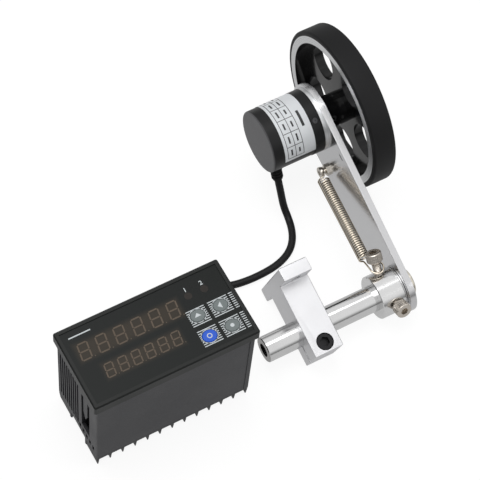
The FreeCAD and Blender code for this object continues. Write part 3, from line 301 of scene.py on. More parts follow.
def give(finish, *names):
    """Puts a finish on CAD nodes."""
    for name in names:
        nodes[name].data.materials.clear()
        nodes[name].data.materials.append(finish)


bezel_low, bezel_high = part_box("front_bezel")
meter_middle = Vector(((bezel_low.x + bezel_high.x) / 2, (bezel_low.y + bezel_high.y) / 2, 0))

# The lead's route, counted from the middle of the meter and up from the table.
lead_route = [
    (0.1195, 0.0770, 0.0239),
    (0.1195, 0.0727, 0.0165),
    (0.1195, 0.0677, 0.0066),
    (0.1197, 0.0616, 0.00215),
    (0.1179, 0.0544, 0.00215),
    (0.1149, 0.0482, 0.00215),
    (0.1103, 0.0430, 0.00215),
    (0.1038, 0.0394, 0.00215),
    (0.0964, 0.0375, 0.00215),
    (0.0880, 0.0368, 0.00215),
    (0.0794, 0.0369, 0.00215),
    (0.0708, 0.0380, 0.00215),
    (0.0626, 0.0409, 0.00215),
    (0.0548, 0.0449, 0.00215),
    (0.0472, 0.0485, 0.00215),
    (0.0394, 0.0502, 0.00215),
    (0.0336, 0.0495, 0.00215),
    (0.0285, 0.0468, 0.00215),
    (0.0247, 0.0424, 0.0023),
    (0.0228, 0.0372, 0.0026),
    (0.0228, 0.0319, 0.0026),
]
lead_radius = 0.00215

black_sheath = moulded("black_sheath", screen_colour(22, 22, 23), 0.42, 1500, 0.000008, 0.2)
route = [meter_middle + Vector(point) for point in lead_route]
lead_line = soft_line("lead_line", route)
lead_path = points_along(lead_line)
sheath = as_tube(lead_line, lead_radius)
sheath.name = "lead_sheath_tube"
sheath.data.materials.append(black_sheath)
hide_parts("lead")
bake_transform(sheath)


# The lead's end: a shrunk sleeve, and four cores that part from it and go under four
# clamps of the rear terminals. Each core has its own colour.
core_radius = 0.0005
core_starts = (-0.0018, -0.0006, 0.0006, 0.0018)
core_turns = (0.0014, 0.0030, 0.0030, 0.0014)
sleeve_low, sleeve_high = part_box("lead_sleeve")
wires_low, wires_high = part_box("lead_wires")
cell_ends = [wires_low.x + core_radius, wires_high.x - core_radius]
core_colours = {
    "red": (165, 28, 24),
    "black": (26, 26, 27),
    "green": (30, 110, 52),
    "white": (214, 212, 205),
}

give(moulded("shrunk_sleeve", screen_colour(30, 30, 31), 0.5, 900), "lead_sleeve")
sleeve_x = (sleeve_low.x + sleeve_high.x) / 2
sleeve_z = (sleeve_low.z + sleeve_high.z) / 2
for i, (colour_name, colour) in enumerate(core_colours.items()):
    start_x = sleeve_x + core_starts[i]
    end_x = cell_ends[0] + (cell_ends[1] - cell_ends[0]) * i / (len(core_colours) - 1)
    turn_y = sleeve_low.y - core_turns[i]
    height = wires_high.z - core_radius
    line = soft_line("core_line", [
        Vector((start_x, sleeve_low.y, sleeve_z)),
        Vector((start_x, turn_y, sleeve_z)),
        Vector((end_x, turn_y, height)),
        Vector((end_x, wires_low.y, height)),
    ])
    core = as_tube(line, core_radius, 3)
    core.name = "core_" + colour_name
    core.data.materials.append(moulded("core_" + colour_name, screen_colour(*colour), 0.4, 4000))
    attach(core, "meter")
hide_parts("lead_wires")


# The gland: a ribbed rubber strain relief, moulded onto the lead where it leaves the encoder.
give(moulded("gland_rubber", screen_colour(20, 20, 21), 0.5, 1800, 0.00002, 0.2), "cable_gland")


# The meter's case: a black moulded box with vents, a latch window and raised corner bands.
# Its rear carries two barrier strips.
give(moulded("case_plastic", screen_colour(52, 52, 55), 0.46, 1600, 0.00002, 0.25),
     "case_shell", "rear_plate")
give(moulded("terminal_plastic", screen_colour(44, 44, 46), 0.5, 1600, 0.000015, 0.25),
     "terminal_block_front", "terminal_block_back")


def metal(name, colour, rough, stretch=(1, 1, 1), lines=900, height=0.000002, uneven=0.06):
    """Bare or plated metal with the fine lines of its working."""
    finish, tree, shader = new_finish(name)
    scratched = grain(tree, place_on(tree, stretch), lines, 5.0)
    cloudy = grain(tree, place_on(tree), 70)
    darker = tuple(level * 0.90 for level in colour[:3]) + (1,)
    link(tree, blended(tree, cloudy, darker, colour), shader.inputs["Base Color"])
    shader.inputs["Metallic"].default_value = 1.0
    both = math_node(tree, "ADD", math_node(tree, "MULTIPLY", scratched, 0.7),
                     math_node(tree, "MULTIPLY", cloudy, 0.3))
    link(tree, spread(tree, both, max(rough - uneven, 0.03), rough + uneven),
         shader.inputs["Roughness"])
    raised(tree, shader, scratched, height)
    return finish


zinc_plate = metal("zinc_plate", screen_colour(205, 204, 200), 0.25)
give(zinc_plate, "terminal_screws", "terminal_clamps", "outer_washer", "flange_screws",
     "board_posts")


# The meter's front: a black moulded bezel, and a dark printed film with two rows of unlit
# digits that show brown through it.
give(moulded("bezel_plastic", screen_colour(28, 30, 29), 0.40, 2600, 0.000012, 0.16), "front_bezel")

sheet_low, sheet_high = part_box("front_sheet")
print_thickness = 0.00003
digit_slant = 0.13
digit_rows = {
    "display_upper": {"height": 0.0102, "width": 0.0062, "bar": 0.00080},
    "display_lower": {"height": 0.0084, "width": 0.0052, "bar": 0.00072},
}
digits_per_row = 6


def soft_box(tree, middle, half_length, half_width, fade):
    """One inside an upright box, fading to zero outside it."""
    place = tree.nodes.new("ShaderNodeTexCoord")
    parts = tree.nodes.new("ShaderNodeSeparateXYZ")
    link(tree, place.outputs["Object"], parts.inputs["Vector"])
    out = []
    for axis, centre, half in (("X", middle.x, half_length), ("Y", middle.y, half_width)):
        away = math_node(tree, "ABSOLUTE", math_node(tree, "SUBTRACT", parts.outputs[axis], centre))
        out.append(math_node(tree, "SUBTRACT", away, half))
    far = math_node(tree, "MAXIMUM", out[0], out[1])
    return spread(tree, far, 1.0, 0.0, 0.0, fade, smooth=True)


def middle_and_half(name):
    """A CAD piece's middle and half its size."""
    low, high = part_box(name)
    return (low + high) / 2, (high - low) / 2


window_inset = (0.0035, 0.0022)
window_fade = 0.0048
film, tree, shader = new_finish("sheet_film")
windows = []
for name in digit_rows:
    middle, half = middle_and_half(name)
    windows.append(soft_box(tree, middle, half.x - window_inset[0], half.y - window_inset[1],
                            window_fade))
window = math_node(tree, "MAXIMUM", windows[0], windows[1])
dust = grain(tree, place_on(tree), 900, 5.0)
printed = blended(tree, dust, screen_colour(19, 22, 21), screen_colour(23, 26, 25))
tinted = blended(tree, dust, screen_colour(50, 45, 38), screen_colour(57, 51, 43))
link(tree, blended(tree, window, printed, tinted), shader.inputs["Base Color"])
link(tree, spread(tree, dust, 0.30, 0.36), shader.inputs["Roughness"])
shader.inputs["Specular IOR Level"].default_value = 0.12
raised(tree, shader, dust, 0.000004)
give(film, "front_sheet")
give(moulded("smoked_pane", screen_colour(62, 54, 48), 0.2), "display_filter")
give(moulded("display_body", screen_colour(40, 38, 36), 0.4), "display_upper", "display_lower")


def pick(piece, test, kind="FACE"):
    """In edit mode, selects what passes a test and nothing else."""
    bpy.ops.mesh.select_mode(type=kind)
    bpy.ops.mesh.select_all(action="DESELECT")
    shape = bmesh.from_edit_mesh(piece.data)
    parts = {"FACE": shape.faces, "EDGE": shape.edges, "VERT": shape.verts}[kind]
    for part in parts:
        if test(part):
            part.select_set(True)
    bmesh.update_edit_mesh(piece.data)


def settle(piece):
    """Puts a piece's turn, size and place into its mesh."""
    only(piece)
    bpy.ops.object.transform_apply(location=True, rotation=True, scale=True)


def joined(pieces, name):
    """Joins pieces into one under a name."""
    bpy.ops.object.select_all(action="DESELECT")
    for piece in pieces:
        piece.select_set(True)
    bpy.context.view_layer.objects.active = pieces[0]
    if len(pieces) > 1:
        bpy.ops.object.join()
    pieces[0].name = name
    return pieces[0]


def repeated(piece, places, name):
    """Copies of a piece, one for each matrix, joined under a name. The first one goes."""
    made = []
    for place in places:
        copy = bpy.data.objects.new(name, piece.data.copy())
        copy.data.transform(place)
        bpy.context.collection.objects.link(copy)
        made.append(copy)
    bpy.data.objects.remove(piece)
    return joined(made, name)


def fitted(piece, finish, body, slot, *stands_for):
    """Gives a finished piece its material and its body, and hides the CAD nodes it stands for. The slot
    is not used.
    """
    piece.data.materials.clear()
    piece.data.materials.append(finish)
    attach(piece, body)
    if stands_for:
        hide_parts(*stands_for)


def thickened(piece, thickness=print_thickness):
    """Gives a flat piece its thickness up along Z, with its faces outwards."""
    bpy.ops.object.mode_set(mode="EDIT")
    bpy.ops.mesh.select_all(action="SELECT")
    bpy.ops.mesh.extrude_region_move(TRANSFORM_OT_translate={"value": (0, 0, thickness)})
    bpy.ops.mesh.select_all(action="SELECT")
    bpy.ops.mesh.normals_make_consistent(inside=False)
    bpy.ops.object.mode_set(mode="OBJECT")
    return piece


def light_bar(length, width):
    """One segment of a digit: a thin strip with pointed ends, along X about the origin."""
    bpy.ops.mesh.primitive_plane_add(size=1)
    bar = bpy.context.object
    bar.scale = (length - width, width, 1)
    settle(bar)
    straight_end = (length - width) / 2 - 1e-6
    bpy.ops.object.mode_set(mode="EDIT")
    for side in (-1, 1):
        pick(bar, lambda edge: all(v.co.x * side > straight_end for v in edge.verts), "EDGE")
        bpy.ops.mesh.extrude_region_move(TRANSFORM_OT_translate={"value": (side * width / 2, 0, 0)})
        bpy.ops.mesh.merge(type="CENTER")
    bpy.ops.object.mode_set(mode="OBJECT")
    return thickened(bar)


def dot(radius, sides=16):
    """A thin round print about the origin."""
    bpy.ops.mesh.primitive_circle_add(vertices=sides, radius=radius, fill_type="NGON")
    return thickened(bpy.context.object)


upright = Matrix.Rotation(math.pi / 2, 4, "Z")
slanted = Matrix.Identity(4)
slanted[0][1] = digit_slant
segment_brown = moulded("segment_brown", screen_colour(97, 86, 75), 0.45, 3000, 0.000004, 0.12)
for name, size in digit_rows.items():
    middle, half = middle_and_half(name)
    pitch = 2 * half.x / digits_per_row
    tall = size["height"] - size["bar"]
    wide = size["width"] - size["bar"]
    bars = []
    points = []
    for digit in range(digits_per_row):
        x = middle.x + (digit - (digits_per_row - 1) / 2) * pitch
        points.append(Matrix.Translation((x + size["width"] / 2 + size["bar"] * 0.9,
                                          middle.y - tall / 2, sheet_high.z)))
        for row in (-1, 0, 1):
            across = x + row * tall / 2 * digit_slant
            bars.append(Matrix.Translation((across, middle.y + row * tall / 2, sheet_high.z)))
        for row in (-1, 1):
            for side in (-1, 1):
                across = x + side * wide / 2 + row * tall / 4 * digit_slant
                bars.append(Matrix.Translation((across, middle.y + row * tall / 4, sheet_high.z))
                            @ slanted @ upright @ Matrix.Diagonal((tall / 2 / wide, 1, 1, 1)))
    segments = repeated(light_bar(wide - size["bar"] * 0.45, size["bar"]), bars, name + "_segments")
    stops = repeated(dot(size["bar"] * 0.38), points, name + "_points")
    digits = joined([segments, stops], name + "_segments")
    fitted(digits, segment_brown, "meter", "display_body")


# The keys: oval caps that stand just above the film, with a plain print on each. Fine white
# lines are printed round them, plain numbers over the lamps and a stripe in the corner.
give(moulded("key_grey", screen_colour(112, 120, 120), 0.38, 2600, 0.00001, 0.3),
     "key_up", "key_left", "key_enter")
give(moulded("key_blue", screen_colour(30, 88, 205), 0.38, 2600, 0.00001, 0.3), "key_set")
give(moulded("lamp_body", screen_colour(96, 60, 52), 0.30, 2200, 0.000008, 0.12), "alarm_lamps")
give(moulded("switch_body", screen_colour(30, 30, 32), 0.5), "key_switches")

print_grey = moulded("print_grey", screen_colour(200, 206, 208), 0.5, 3000, 0.000004)
line_pitch = 0.00118
line_width = 0.00050
key_margin = 0.0003
patches = {
    "key_up": (0.0183, 0.0290, -0.0058, 0.0032),
    "key_left": (0.0310, 0.0422, -0.0058, 0.0032),
    "key_set": (0.0183, 0.0290, -0.0185, -0.0094),
    "key_enter": (0.0310, 0.0422, -0.0185, -0.0094),
}
strips = [(0.0433, 0.0460, -0.0058, 0.0032), (0.0433, 0.0460, -0.0185, -0.0094)]


def tile():
    """A thin square print, one metre each way, about the origin."""
    bpy.ops.mesh.primitive_plane_add(size=1)
    return thickened(bpy.context.object)


def at_box(x0, x1, y0, y1, z):
    """The matrix that brings a tile to a box of the film."""
    return (Matrix.Translation(((x0 + x1) / 2, (y0 + y1) / 2, z))
            @ Matrix.Diagonal((x1 - x0, y1 - y0, 1, 1)))


lines = []
for key, (x0, x1, y0, y1) in list(patches.items()) + [(None, strip) for strip in strips]:
    count = int((y1 - y0) / line_pitch) + 1
    for i in range(count):
        y = meter_middle.y + y0 + (y1 - y0) * i / (count - 1)
        ends = [(meter_middle.x + x0, meter_middle.x + x1)]
        if key:
            middle, half = middle_and_half(key)
            reach = (y - middle.y) / (half.y + key_margin)
            if abs(reach) < 1:
                bare = (half.x + key_margin) * math.sqrt(1 - reach * reach)
                ends = [(ends[0][0], middle.x - bare), (middle.x + bare, ends[0][1])]
        for start, end in ends:
            if end - start > line_width:
                lines.append(at_box(start, end, y - line_width / 2, y + line_width / 2, sheet_high.z))
fitted(repeated(tile(), lines, "key_field_lines"), print_grey, "meter", "sheet_film")

lamps_low, lamps_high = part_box("alarm_lamps")
lamp_lip = 0.0002
number_size = 0.0036
number_gap = 0.0008
number_boldness = 0.00005


def plain_text(body, size, place, name):
    """A flat number made a thin mesh at its place."""
    bpy.ops.object.text_add()
    text = bpy.context.object
    text.data.body = body
    text.data.size = size
    text.data.align_x = "CENTER"
    text.data.extrude = print_thickness / 2
    text.data.offset = number_boldness
    bpy.ops.object.convert(target="MESH")
    text = bpy.context.object
    text.location = place
    settle(text)
    text.name = name
    return text


lamp_radius = (lamps_high.y - lamps_low.y) / 2
lamp_middles = (lamps_low.x + lamp_radius, lamps_high.x - lamp_radius)
number_height = sheet_high.z + print_thickness / 2
numbers = [plain_text(str(i + 1), number_size, (x, lamps_high.y + number_gap, number_height),
                      "lamp_number") for i, x in enumerate(lamp_middles)]
fitted(joined(numbers, "lamp_numbers"), print_grey, "meter", "sheet_film")
lamp_faces = repeated(dot(lamp_radius + lamp_lip, 32), [
    Matrix.Translation((x, lamps_low.y + lamp_radius, sheet_high.z)) for x in lamp_middles], "lamp_faces")
fitted(lamp_faces, moulded("lamp_lens", screen_colour(44, 40, 37), 0.30, 2200, 0.000008, 0.12),
       "meter", "sheet_film")

stripe_left = -0.0420
stripe_length = 0.0125
stripe_y = 0.0172
stripe_width = 0.0007
corner_stripe = at_box(meter_middle.x + stripe_left, meter_middle.x + stripe_left + stripe_length,
                       meter_middle.y + stripe_y, meter_middle.y + stripe_y + stripe_width, sheet_high.z)
fitted(repeated(tile(), [corner_stripe], "corner_stripe"), print_grey, "meter", "sheet_film")


def outlined(corners):
    """A thin print about the origin, with the corners that are given."""
    bpy.ops.mesh.primitive_circle_add(vertices=len(corners), radius=1, fill_type="NGON")
    head = bpy.context.object
    for vertex, corner in zip(head.data.vertices, corners):
        vertex.co = (*corner, 0)
    return thickened(head)


def ring(radius, width, sides=48, thickness=print_thickness):
    """A flat ring about the origin, as thin as a print unless told otherwise."""
    bpy.ops.mesh.primitive_circle_add(vertices=sides, radius=radius - width / 2, fill_type="NOTHING")
    band = bpy.context.object
    bpy.ops.object.mode_set(mode="EDIT")
    bpy.ops.mesh.select_all(action="SELECT")
    bpy.ops.mesh.extrude_edges_move()
    grow = (radius + width / 2) / (radius - width / 2)
    bpy.ops.transform.resize(value=(grow, grow, 1), center_override=(0, 0, 0))
    bpy.ops.object.mode_set(mode="OBJECT")
    return thickened(band, thickness)


outline_width = 0.00042
outlines = []
for key in patches:
    middle, half = middle_and_half(key)
    outlines.append(Matrix.Translation((middle.x, middle.y, sheet_high.z))
                    @ Matrix.Diagonal((half.x + outline_width, half.y + outline_width, 1, 1)))
key_half = middle_and_half("key_enter")[1]
key_outlines = repeated(ring(1, outline_width / key_half.x, 64), outlines, "key_outlines")
fitted(key_outlines, print_grey, "meter", "sheet_film")

pale_print = moulded("pale_print", screen_colour(204, 210, 212), 0.45, 3000, 0.000004)
wedge_corners = [(0, 0.0016), (-0.0019, -0.0006), (0.0019, -0.0006)]
key_prints = {
    "key_up": (outlined(wedge_corners), 0, "up_key"),
    "key_left": (outlined(wedge_corners), math.pi / 2, "left_key"),
    "key_set": (ring(0.0012, 0.0005), 0, "set_key"),
    "key_enter": (dot(0.0011, 24), 0, "enter_key"),
}
for key, (mark, turn, body) in key_prints.items():
    middle, half = middle_and_half(key)
    place = Matrix.Translation((middle.x, middle.y, middle.z + half.z))
    mark = repeated(mark, [place @ Matrix.Rotation(turn, 4, "Z")], key + "_print")
    fitted(mark, pale_print, body, "key_grey")


# Inside the meter: green boards with a transformer, relays, capacitors, a chip and headers.
give(moulded("board_green", screen_colour(44, 104, 62), 0.35, 1200), "display_board", "main_board",
     "power_board", "encoder_board")
give(metal("core_iron", screen_colour(120, 120, 122), 0.5, (1, 40, 1), 400, 0.00002), "transformer")
give(moulded("component_black", screen_colour(34, 34, 35), 0.35), "relays", "board_headers",
     "control_chip", "sensor_block")
give(moulded("component_blue", screen_colour(40, 70, 150), 0.3), "capacitors")


# The encoder: a black lacquered cup with a ring at its mouth, a silver label with a ruled table
# wrapped round it, and a turned aluminium flange against the arm. Its grey end face is a painted
# reflection.
def turned_place(tree, centre):
    """Coordinates that stay the same round an axis along X, for the lines of turning."""
    place = tree.nodes.new("ShaderNodeTexCoord")
    shifted = tree.nodes.new("ShaderNodeVectorMath")
    shifted.operation = "SUBTRACT"
    link(tree, place.outputs["Object"], shifted.inputs[0])
    shifted.inputs[1].default_value = (0, centre.y, centre.z)
    parts = tree.nodes.new("ShaderNodeSeparateXYZ")
    link(tree, shifted.outputs[0], parts.inputs[0])
    squares = [math_node(tree, "MULTIPLY", parts.outputs[axis], parts.outputs[axis]) for axis in "YZ"]
    radius = math_node(tree, "SQRT", math_node(tree, "ADD", *squares))
    both = tree.nodes.new("ShaderNodeCombineXYZ")
    link(tree, parts.outputs["X"], both.inputs["X"])
    link(tree, radius, both.inputs["Y"])
    return both.outputs[0], radius, parts.outputs["X"]


def turned_metal(name, colour, rough, centre, lines=4000, height=0.000002, uneven=0.07):
    """Metal turned on a lathe about an axis along X."""
    finish, tree, shader = new_finish(name)
    cut = grain(tree, turned_place(tree, centre)[0], lines, 2.0)
    cloudy = grain(tree, place_on(tree), 60)
    darker = tuple(level * 0.88 for level in colour[:3]) + (1,)
    link(tree, blended(tree, cloudy, darker, colour), shader.inputs["Base Color"])
    shader.inputs["Metallic"].default_value = 1.0
    link(tree, spread(tree, cut, max(rough - uneven, 0.03), rough + uneven),
         shader.inputs["Roughness"])
    raised(tree, shader, cut, height)
    return finish


wheel_low, wheel_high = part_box("wheel_tyre")
wheel_axis = (wheel_low + wheel_high) / 2
rod_low, rod_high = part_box("support_rod")
rod_axis = (rod_low + rod_high) / 2
housing_low, housing_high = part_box("encoder_housing")
label_low, label_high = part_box("encoder_label")

cap_depth = 0.0009
lacquer, tree, shader = new_finish("housing_lacquer")
fine = grain(tree, place_on(tree), 2600, 4.0)
broad = grain(tree, place_on(tree), 60)
place = tree.nodes.new("ShaderNodeTexCoord")
parts = tree.nodes.new("ShaderNodeSeparateXYZ")
link(tree, place.outputs["Object"], parts.inputs[0])
# Painted reflection: the cup's end face and a 0.9 mm band round it are given grey in place of the black
# lacquer, standing in for the bright room the face reflects.
face = spread(tree, parts.outputs["X"], 1.0, 0.0, housing_low.x + 0.0001, housing_low.x + cap_depth,
              smooth=True)
side_colour = blended(tree, broad, screen_colour(20, 20, 21), screen_colour(26, 26, 27))
painted_face_reflection = blended(tree, broad, screen_colour(92, 92, 94), screen_colour(101, 101, 103))
link(tree, blended(tree, face, side_colour, painted_face_reflection), shader.inputs["Base Color"])
link(tree, spread(tree, fine, 0.34, 0.44), shader.inputs["Roughness"])
shader.inputs["Specular IOR Level"].default_value = 0.22
raised(tree, shader, fine, 0.000012)
give(lacquer, "encoder_housing")
give(metal("grub_steel", screen_colour(78, 78, 80), 0.35), "encoder_grub_screws", "hub_screws")
bright_turned = turned_metal("bright_turned", screen_colour(226, 227, 228), 0.34, wheel_axis,
                             height=0.0000005, uneven=0.02)
give(bright_turned, "encoder_flange", "encoder_shaft")
give(metal("ground_steel", screen_colour(200, 200, 202), 0.12), "bearing_outer_rings",
     "bearing_inner_rings", "bearing_balls")
give(metal("etched_disc", screen_colour(150, 150, 154), 0.3), "code_disc")

silver_label = moulded("silver_label", screen_colour(228, 231, 234), 0.30, 1400, 0.000004)
give(silver_label, "encoder_label")
label_radius = label_high.z - wheel_axis.z
table_lines = (0.0019, 0.0069, 0.0118)
table_first_degrees = 171.5
cell_degrees = 24.5
table_rows = 6
ink_width = 0.00035


def wrapped_print(marks, name):
    """Thin prints round the label. Each is given by its place along X and its angles."""
    pieces = []
    for x0, x1, first, last in marks:
        steps = max(int(abs(last - first) / 4), 1)
        bpy.ops.mesh.primitive_grid_add(x_subdivisions=1, y_subdivisions=steps, size=1)
        sheet = bpy.context.object
        bpy.ops.object.mode_set(mode="EDIT")
        bpy.ops.mesh.select_all(action="SELECT")
        bpy.ops.mesh.extrude_region_move(TRANSFORM_OT_translate={"value": (0, 0, print_thickness)})
        bpy.ops.object.mode_set(mode="OBJECT")
        for vertex in sheet.data.vertices:
            angle = math.radians(first + (last - first) * (vertex.co.y + 0.5))
            out = label_radius + vertex.co.z
            vertex.co = (label_low.x + x0 + (x1 - x0) * (vertex.co.x + 0.5),
                         wheel_axis.y + out * math.cos(angle), wheel_axis.z + out * math.sin(angle))
        bpy.ops.object.mode_set(mode="EDIT")
        bpy.ops.mesh.select_all(action="SELECT")
        bpy.ops.mesh.normals_make_consistent(inside=False)
        bpy.ops.object.mode_set(mode="OBJECT")
        pieces.append(sheet)
    return joined(pieces, name)


degrees_per_metre = math.degrees(1 / label_radius)
ink_degrees = ink_width * degrees_per_metre
table_last_degrees = table_first_degrees - table_rows * cell_degrees
marks = [(x - ink_width / 2, x + ink_width / 2, table_first_degrees, table_last_degrees)
         for x in table_lines]
for row in range(table_rows + 1):
    angle = table_first_degrees - row * cell_degrees
    marks.append((table_lines[0], table_lines[2], angle + ink_degrees / 2, angle - ink_degrees / 2))
cell_stripe_width = 0.0010
cell_stripe_lengths = [0.0042, 0.0034, 0.0040, 0.0032, 0.0036, 0.0044]
for column in (0, 1):
    middle_x = (table_lines[column] + table_lines[column + 1]) / 2
    for row in range(table_rows):
        angle = table_first_degrees - (row + 0.5) * cell_degrees
        reach = cell_stripe_lengths[(row * 2 + column * 3) % table_rows] / 2 * degrees_per_metre
        marks.append((middle_x - cell_stripe_width / 2, middle_x + cell_stripe_width / 2,
                      angle + reach, angle - reach))
band_x = 0.0152
band_width = 0.0016
band_degrees = (121.5, 92.0)
marks.append((band_x - band_width / 2, band_x + band_width / 2, *band_degrees))
label_print = wrapped_print(marks, "label_print")
fitted(label_print, moulded("label_ink", screen_colour(30, 30, 32), 0.5), "arm", "label_silver")


# The arm: a flat aluminium bar of 4 mm, milled and lightly polished, with broken edges and a
# sintered bush at its pivot.
def edged_copy(node, name, width, test, segments=2):
    """A merged copy of a CAD piece, with the edges that pass a test broken."""
    piece = bpy.data.objects.new(name, nodes[node].data.copy())
    bpy.context.collection.objects.link(piece)
    only(piece)
    bpy.ops.object.mode_set(mode="EDIT")
    bpy.ops.mesh.select_all(action="SELECT")
    bpy.ops.mesh.remove_doubles(threshold=1e-6)
    bpy.ops.mesh.dissolve_limited(angle_limit=math.radians(0.5))

    def sharp(edge):
        if len(edge.link_faces) != 2 or edge.calc_face_angle() < math.radians(30):
            return False
        return test(edge)

    pick(piece, sharp, "EDGE")
    bpy.ops.mesh.bevel(offset=width, segments=segments, profile=0.5, affect="EDGES",
                       clamp_overlap=False)
    bpy.ops.object.mode_set(mode="OBJECT")
    bpy.ops.object.shade_smooth_by_angle(angle=math.radians(35))
    flat = piece.modifiers.new("flat_faces", "WEIGHTED_NORMAL")
    flat.keep_sharp = True
    bpy.ops.object.modifier_apply(modifier=flat.name)
    return piece


arm_low, arm_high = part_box("swing_arm")
arm_run = Vector((0, wheel_axis.y - rod_axis.y, wheel_axis.z - rod_axis.z))
arm_way = arm_run.normalized()
arm_side = Vector((0, -arm_way.z, arm_way.y))
arm_edge = 0.0003
arm_wheel_end = 0.019
arm_pivot_end = 0.012
post_along = 0.078
post_up = -0.014
post_hole = 0.0025


def arm_place(x, along, up):
    """A point of the arm from its pivot, along it and across it."""
    return Vector((x, rod_axis.y, rod_axis.z)) + arm_way * along + arm_side * up


def on_arm_outline(edge):
    """Whether an edge is on the arm's outline, and not round a hole."""
    middle = (edge.verts[0].co + edge.verts[1].co) / 2
    from_pivot = Vector((0, middle.y - rod_axis.y, middle.z - rod_axis.z))
    along = from_pivot.dot(arm_way)
    up = from_pivot.dot(arm_side)
    if min(abs(middle.x - arm_low.x), abs(middle.x - arm_high.x)) > 1e-5:
        return False
    if math.hypot(along - arm_run.length, up) < arm_wheel_end:
        return False
    if math.hypot(along, up) < arm_pivot_end:
        return False
    return math.hypot(along - post_along, up - post_up) > post_hole


arm_metal, tree, shader = new_finish("arm_metal")
milled = grain(tree, place_on(tree, (60, 1, 60)), 60, 6.0)
cloudy = grain(tree, place_on(tree), 30)
link(tree, blended(tree, cloudy, screen_colour(202, 202, 204), screen_colour(208, 208, 209)),
     shader.inputs["Base Color"])
shader.inputs["Metallic"].default_value = 1.0
link(tree, spread(tree, milled, 0.18, 0.24), shader.inputs["Roughness"])
raised(tree, shader, milled, 0.0000008)
arm = edged_copy("swing_arm", "arm_plate", arm_edge, on_arm_outline)
fitted(arm, arm_metal, "arm", "arm_aluminium", "swing_arm")
give(metal("bush_bronze", screen_colour(170, 130, 84), 0.4), "pivot_bush")

# A short cut line near the arm's edge.
mark_along = 0.0772
mark_up = 0.0147
mark_corners = [(0.0004, 0.0020), (-0.0004, 0.0020), (-0.0004, -0.0020), (0.0004, -0.0020)]
mark_turn = Matrix((arm_side, arm_way, Vector((-1, 0, 0)))).transposed().to_4x4()
mark_place = Matrix.Translation(arm_place(arm_low.x, mark_along, mark_up)) @ mark_turn
arm_mark = repeated(outlined(mark_corners), [mark_place], "arm_mark")
fitted(arm_mark, moulded("cut_line", screen_colour(34, 34, 32), 0.6, lustre=0.1), "arm",
       "arm_aluminium")


# The wheel: a turned aluminium rim, lacquered gloss black and then faced bare on its edge,
# with a moulded rubber tyre.
rim_bare_radius = 0.0407
lacquered_rim, tree, shader = new_finish("lacquered_rim")
place, radius, along = turned_place(tree, wheel_axis)
cut = grain(tree, place, 3500, 2.0)
bare = spread(tree, radius, 0.0, 1.0, rim_bare_radius - 0.0001, rim_bare_radius + 0.0001)
bare_colour = blended(tree, cut, screen_colour(196, 197, 198), screen_colour(214, 215, 216))
link(tree, blended(tree, bare, screen_colour(14, 14, 15), bare_colour), shader.inputs["Base Color"])
link(tree, bare, shader.inputs["Metallic"])
black_gloss = spread(tree, grain(tree, place_on(tree), 300), 0.10, 0.16)
bare_gloss = spread(tree, cut, 0.24, 0.36)
picked = tree.nodes.new("ShaderNodeMix")
link(tree, bare, picked.inputs["Factor"])
link(tree, black_gloss, picked.inputs[2])
link(tree, bare_gloss, picked.inputs[3])
link(tree, picked.outputs[0], shader.inputs["Roughness"])
shader.inputs["Specular IOR Level"].default_value = 0.28
raised(tree, shader, cut, 0.0000015)
give(lacquered_rim, "wheel_rim")

tyre_shoulder = 0.0013
tyre_steps = 180
rim_low, rim_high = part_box("wheel_rim")
tyre_radius = (wheel_high.z - wheel_low.z) / 2
tyre_inner = (rim_high.z - rim_low.z) / 2
bpy.ops.mesh.primitive_plane_add(size=1)
tyre = bpy.context.object
tyre.scale = (wheel_high.x - wheel_low.x, tyre_radius - tyre_inner, 1)
tyre.location = ((wheel_low.x + wheel_high.x) / 2, (tyre_radius + tyre_inner) / 2, 0)
settle(tyre)
bpy.ops.object.mode_set(mode="EDIT")
pick(tyre, lambda v: v.co.y > (tyre_radius + tyre_inner) / 2, "VERT")
bpy.ops.mesh.bevel(offset=tyre_shoulder, segments=6, affect="VERTICES")
pick(tyre, lambda face: True)
bpy.ops.mesh.delete(type="ONLY_FACE")
bpy.ops.mesh.select_all(action="SELECT")
bpy.ops.mesh.spin(steps=tyre_steps, angle=2 * math.pi, center=(0, 0, 0), axis=(1, 0, 0))
bpy.ops.mesh.select_all(action="SELECT")
bpy.ops.mesh.remove_doubles(threshold=1e-6)
bpy.ops.mesh.normals_make_consistent(inside=False)
bpy.ops.object.mode_set(mode="OBJECT")
tyre.data.transform(Matrix.Translation((0, wheel_axis.y, wheel_axis.z)))
bpy.ops.object.shade_smooth_by_angle(angle=math.radians(30))
tyre.name = "rubber_tyre"
fitted(tyre, moulded("tyre_rubber", screen_colour(26, 26, 27), 0.55, 3000, 0.00002, 0.15), "wheel",
       "tyre_rubber", "wheel_tyre")


# The rod, collar and pivot bolt: ground, turned and plated steel.
plated_rod, tree, shader = new_finish("plated_rod")
place, radius, along = turned_place(tree, rod_axis)
cut = grain(tree, place, 2500, 2.0)
cloudy = grain(tree, place_on(tree), 60)
sawn_end = spread(tree, along, 1.0, 0.0, rod_low.x + 0.0001, rod_low.x + 0.0003)
plated = blended(tree, cloudy, screen_colour(202, 202, 202), screen_colour(218, 218, 218))
link(tree, blended(tree, sawn_end, plated, screen_colour(148, 147, 145)), shader.inputs["Base Color"])
shader.inputs["Metallic"].default_value = 1.0
link(tree, spread(tree, math_node(tree, "ADD", cut, sawn_end), 0.11, 0.26, 0.3, 1.5),
     shader.inputs["Roughness"])
raised(tree, shader, cut, 0.000001)
give(plated_rod, "support_rod")
give(turned_metal("plated_collar", screen_colour(220, 220, 220), 0.16, rod_axis, 2500, 0.000001, 0.05),
     "pivot_collar")
give(turned_metal("bolt_nickel", screen_colour(206, 200, 188), 0.24, rod_axis), "pivot_bolt")

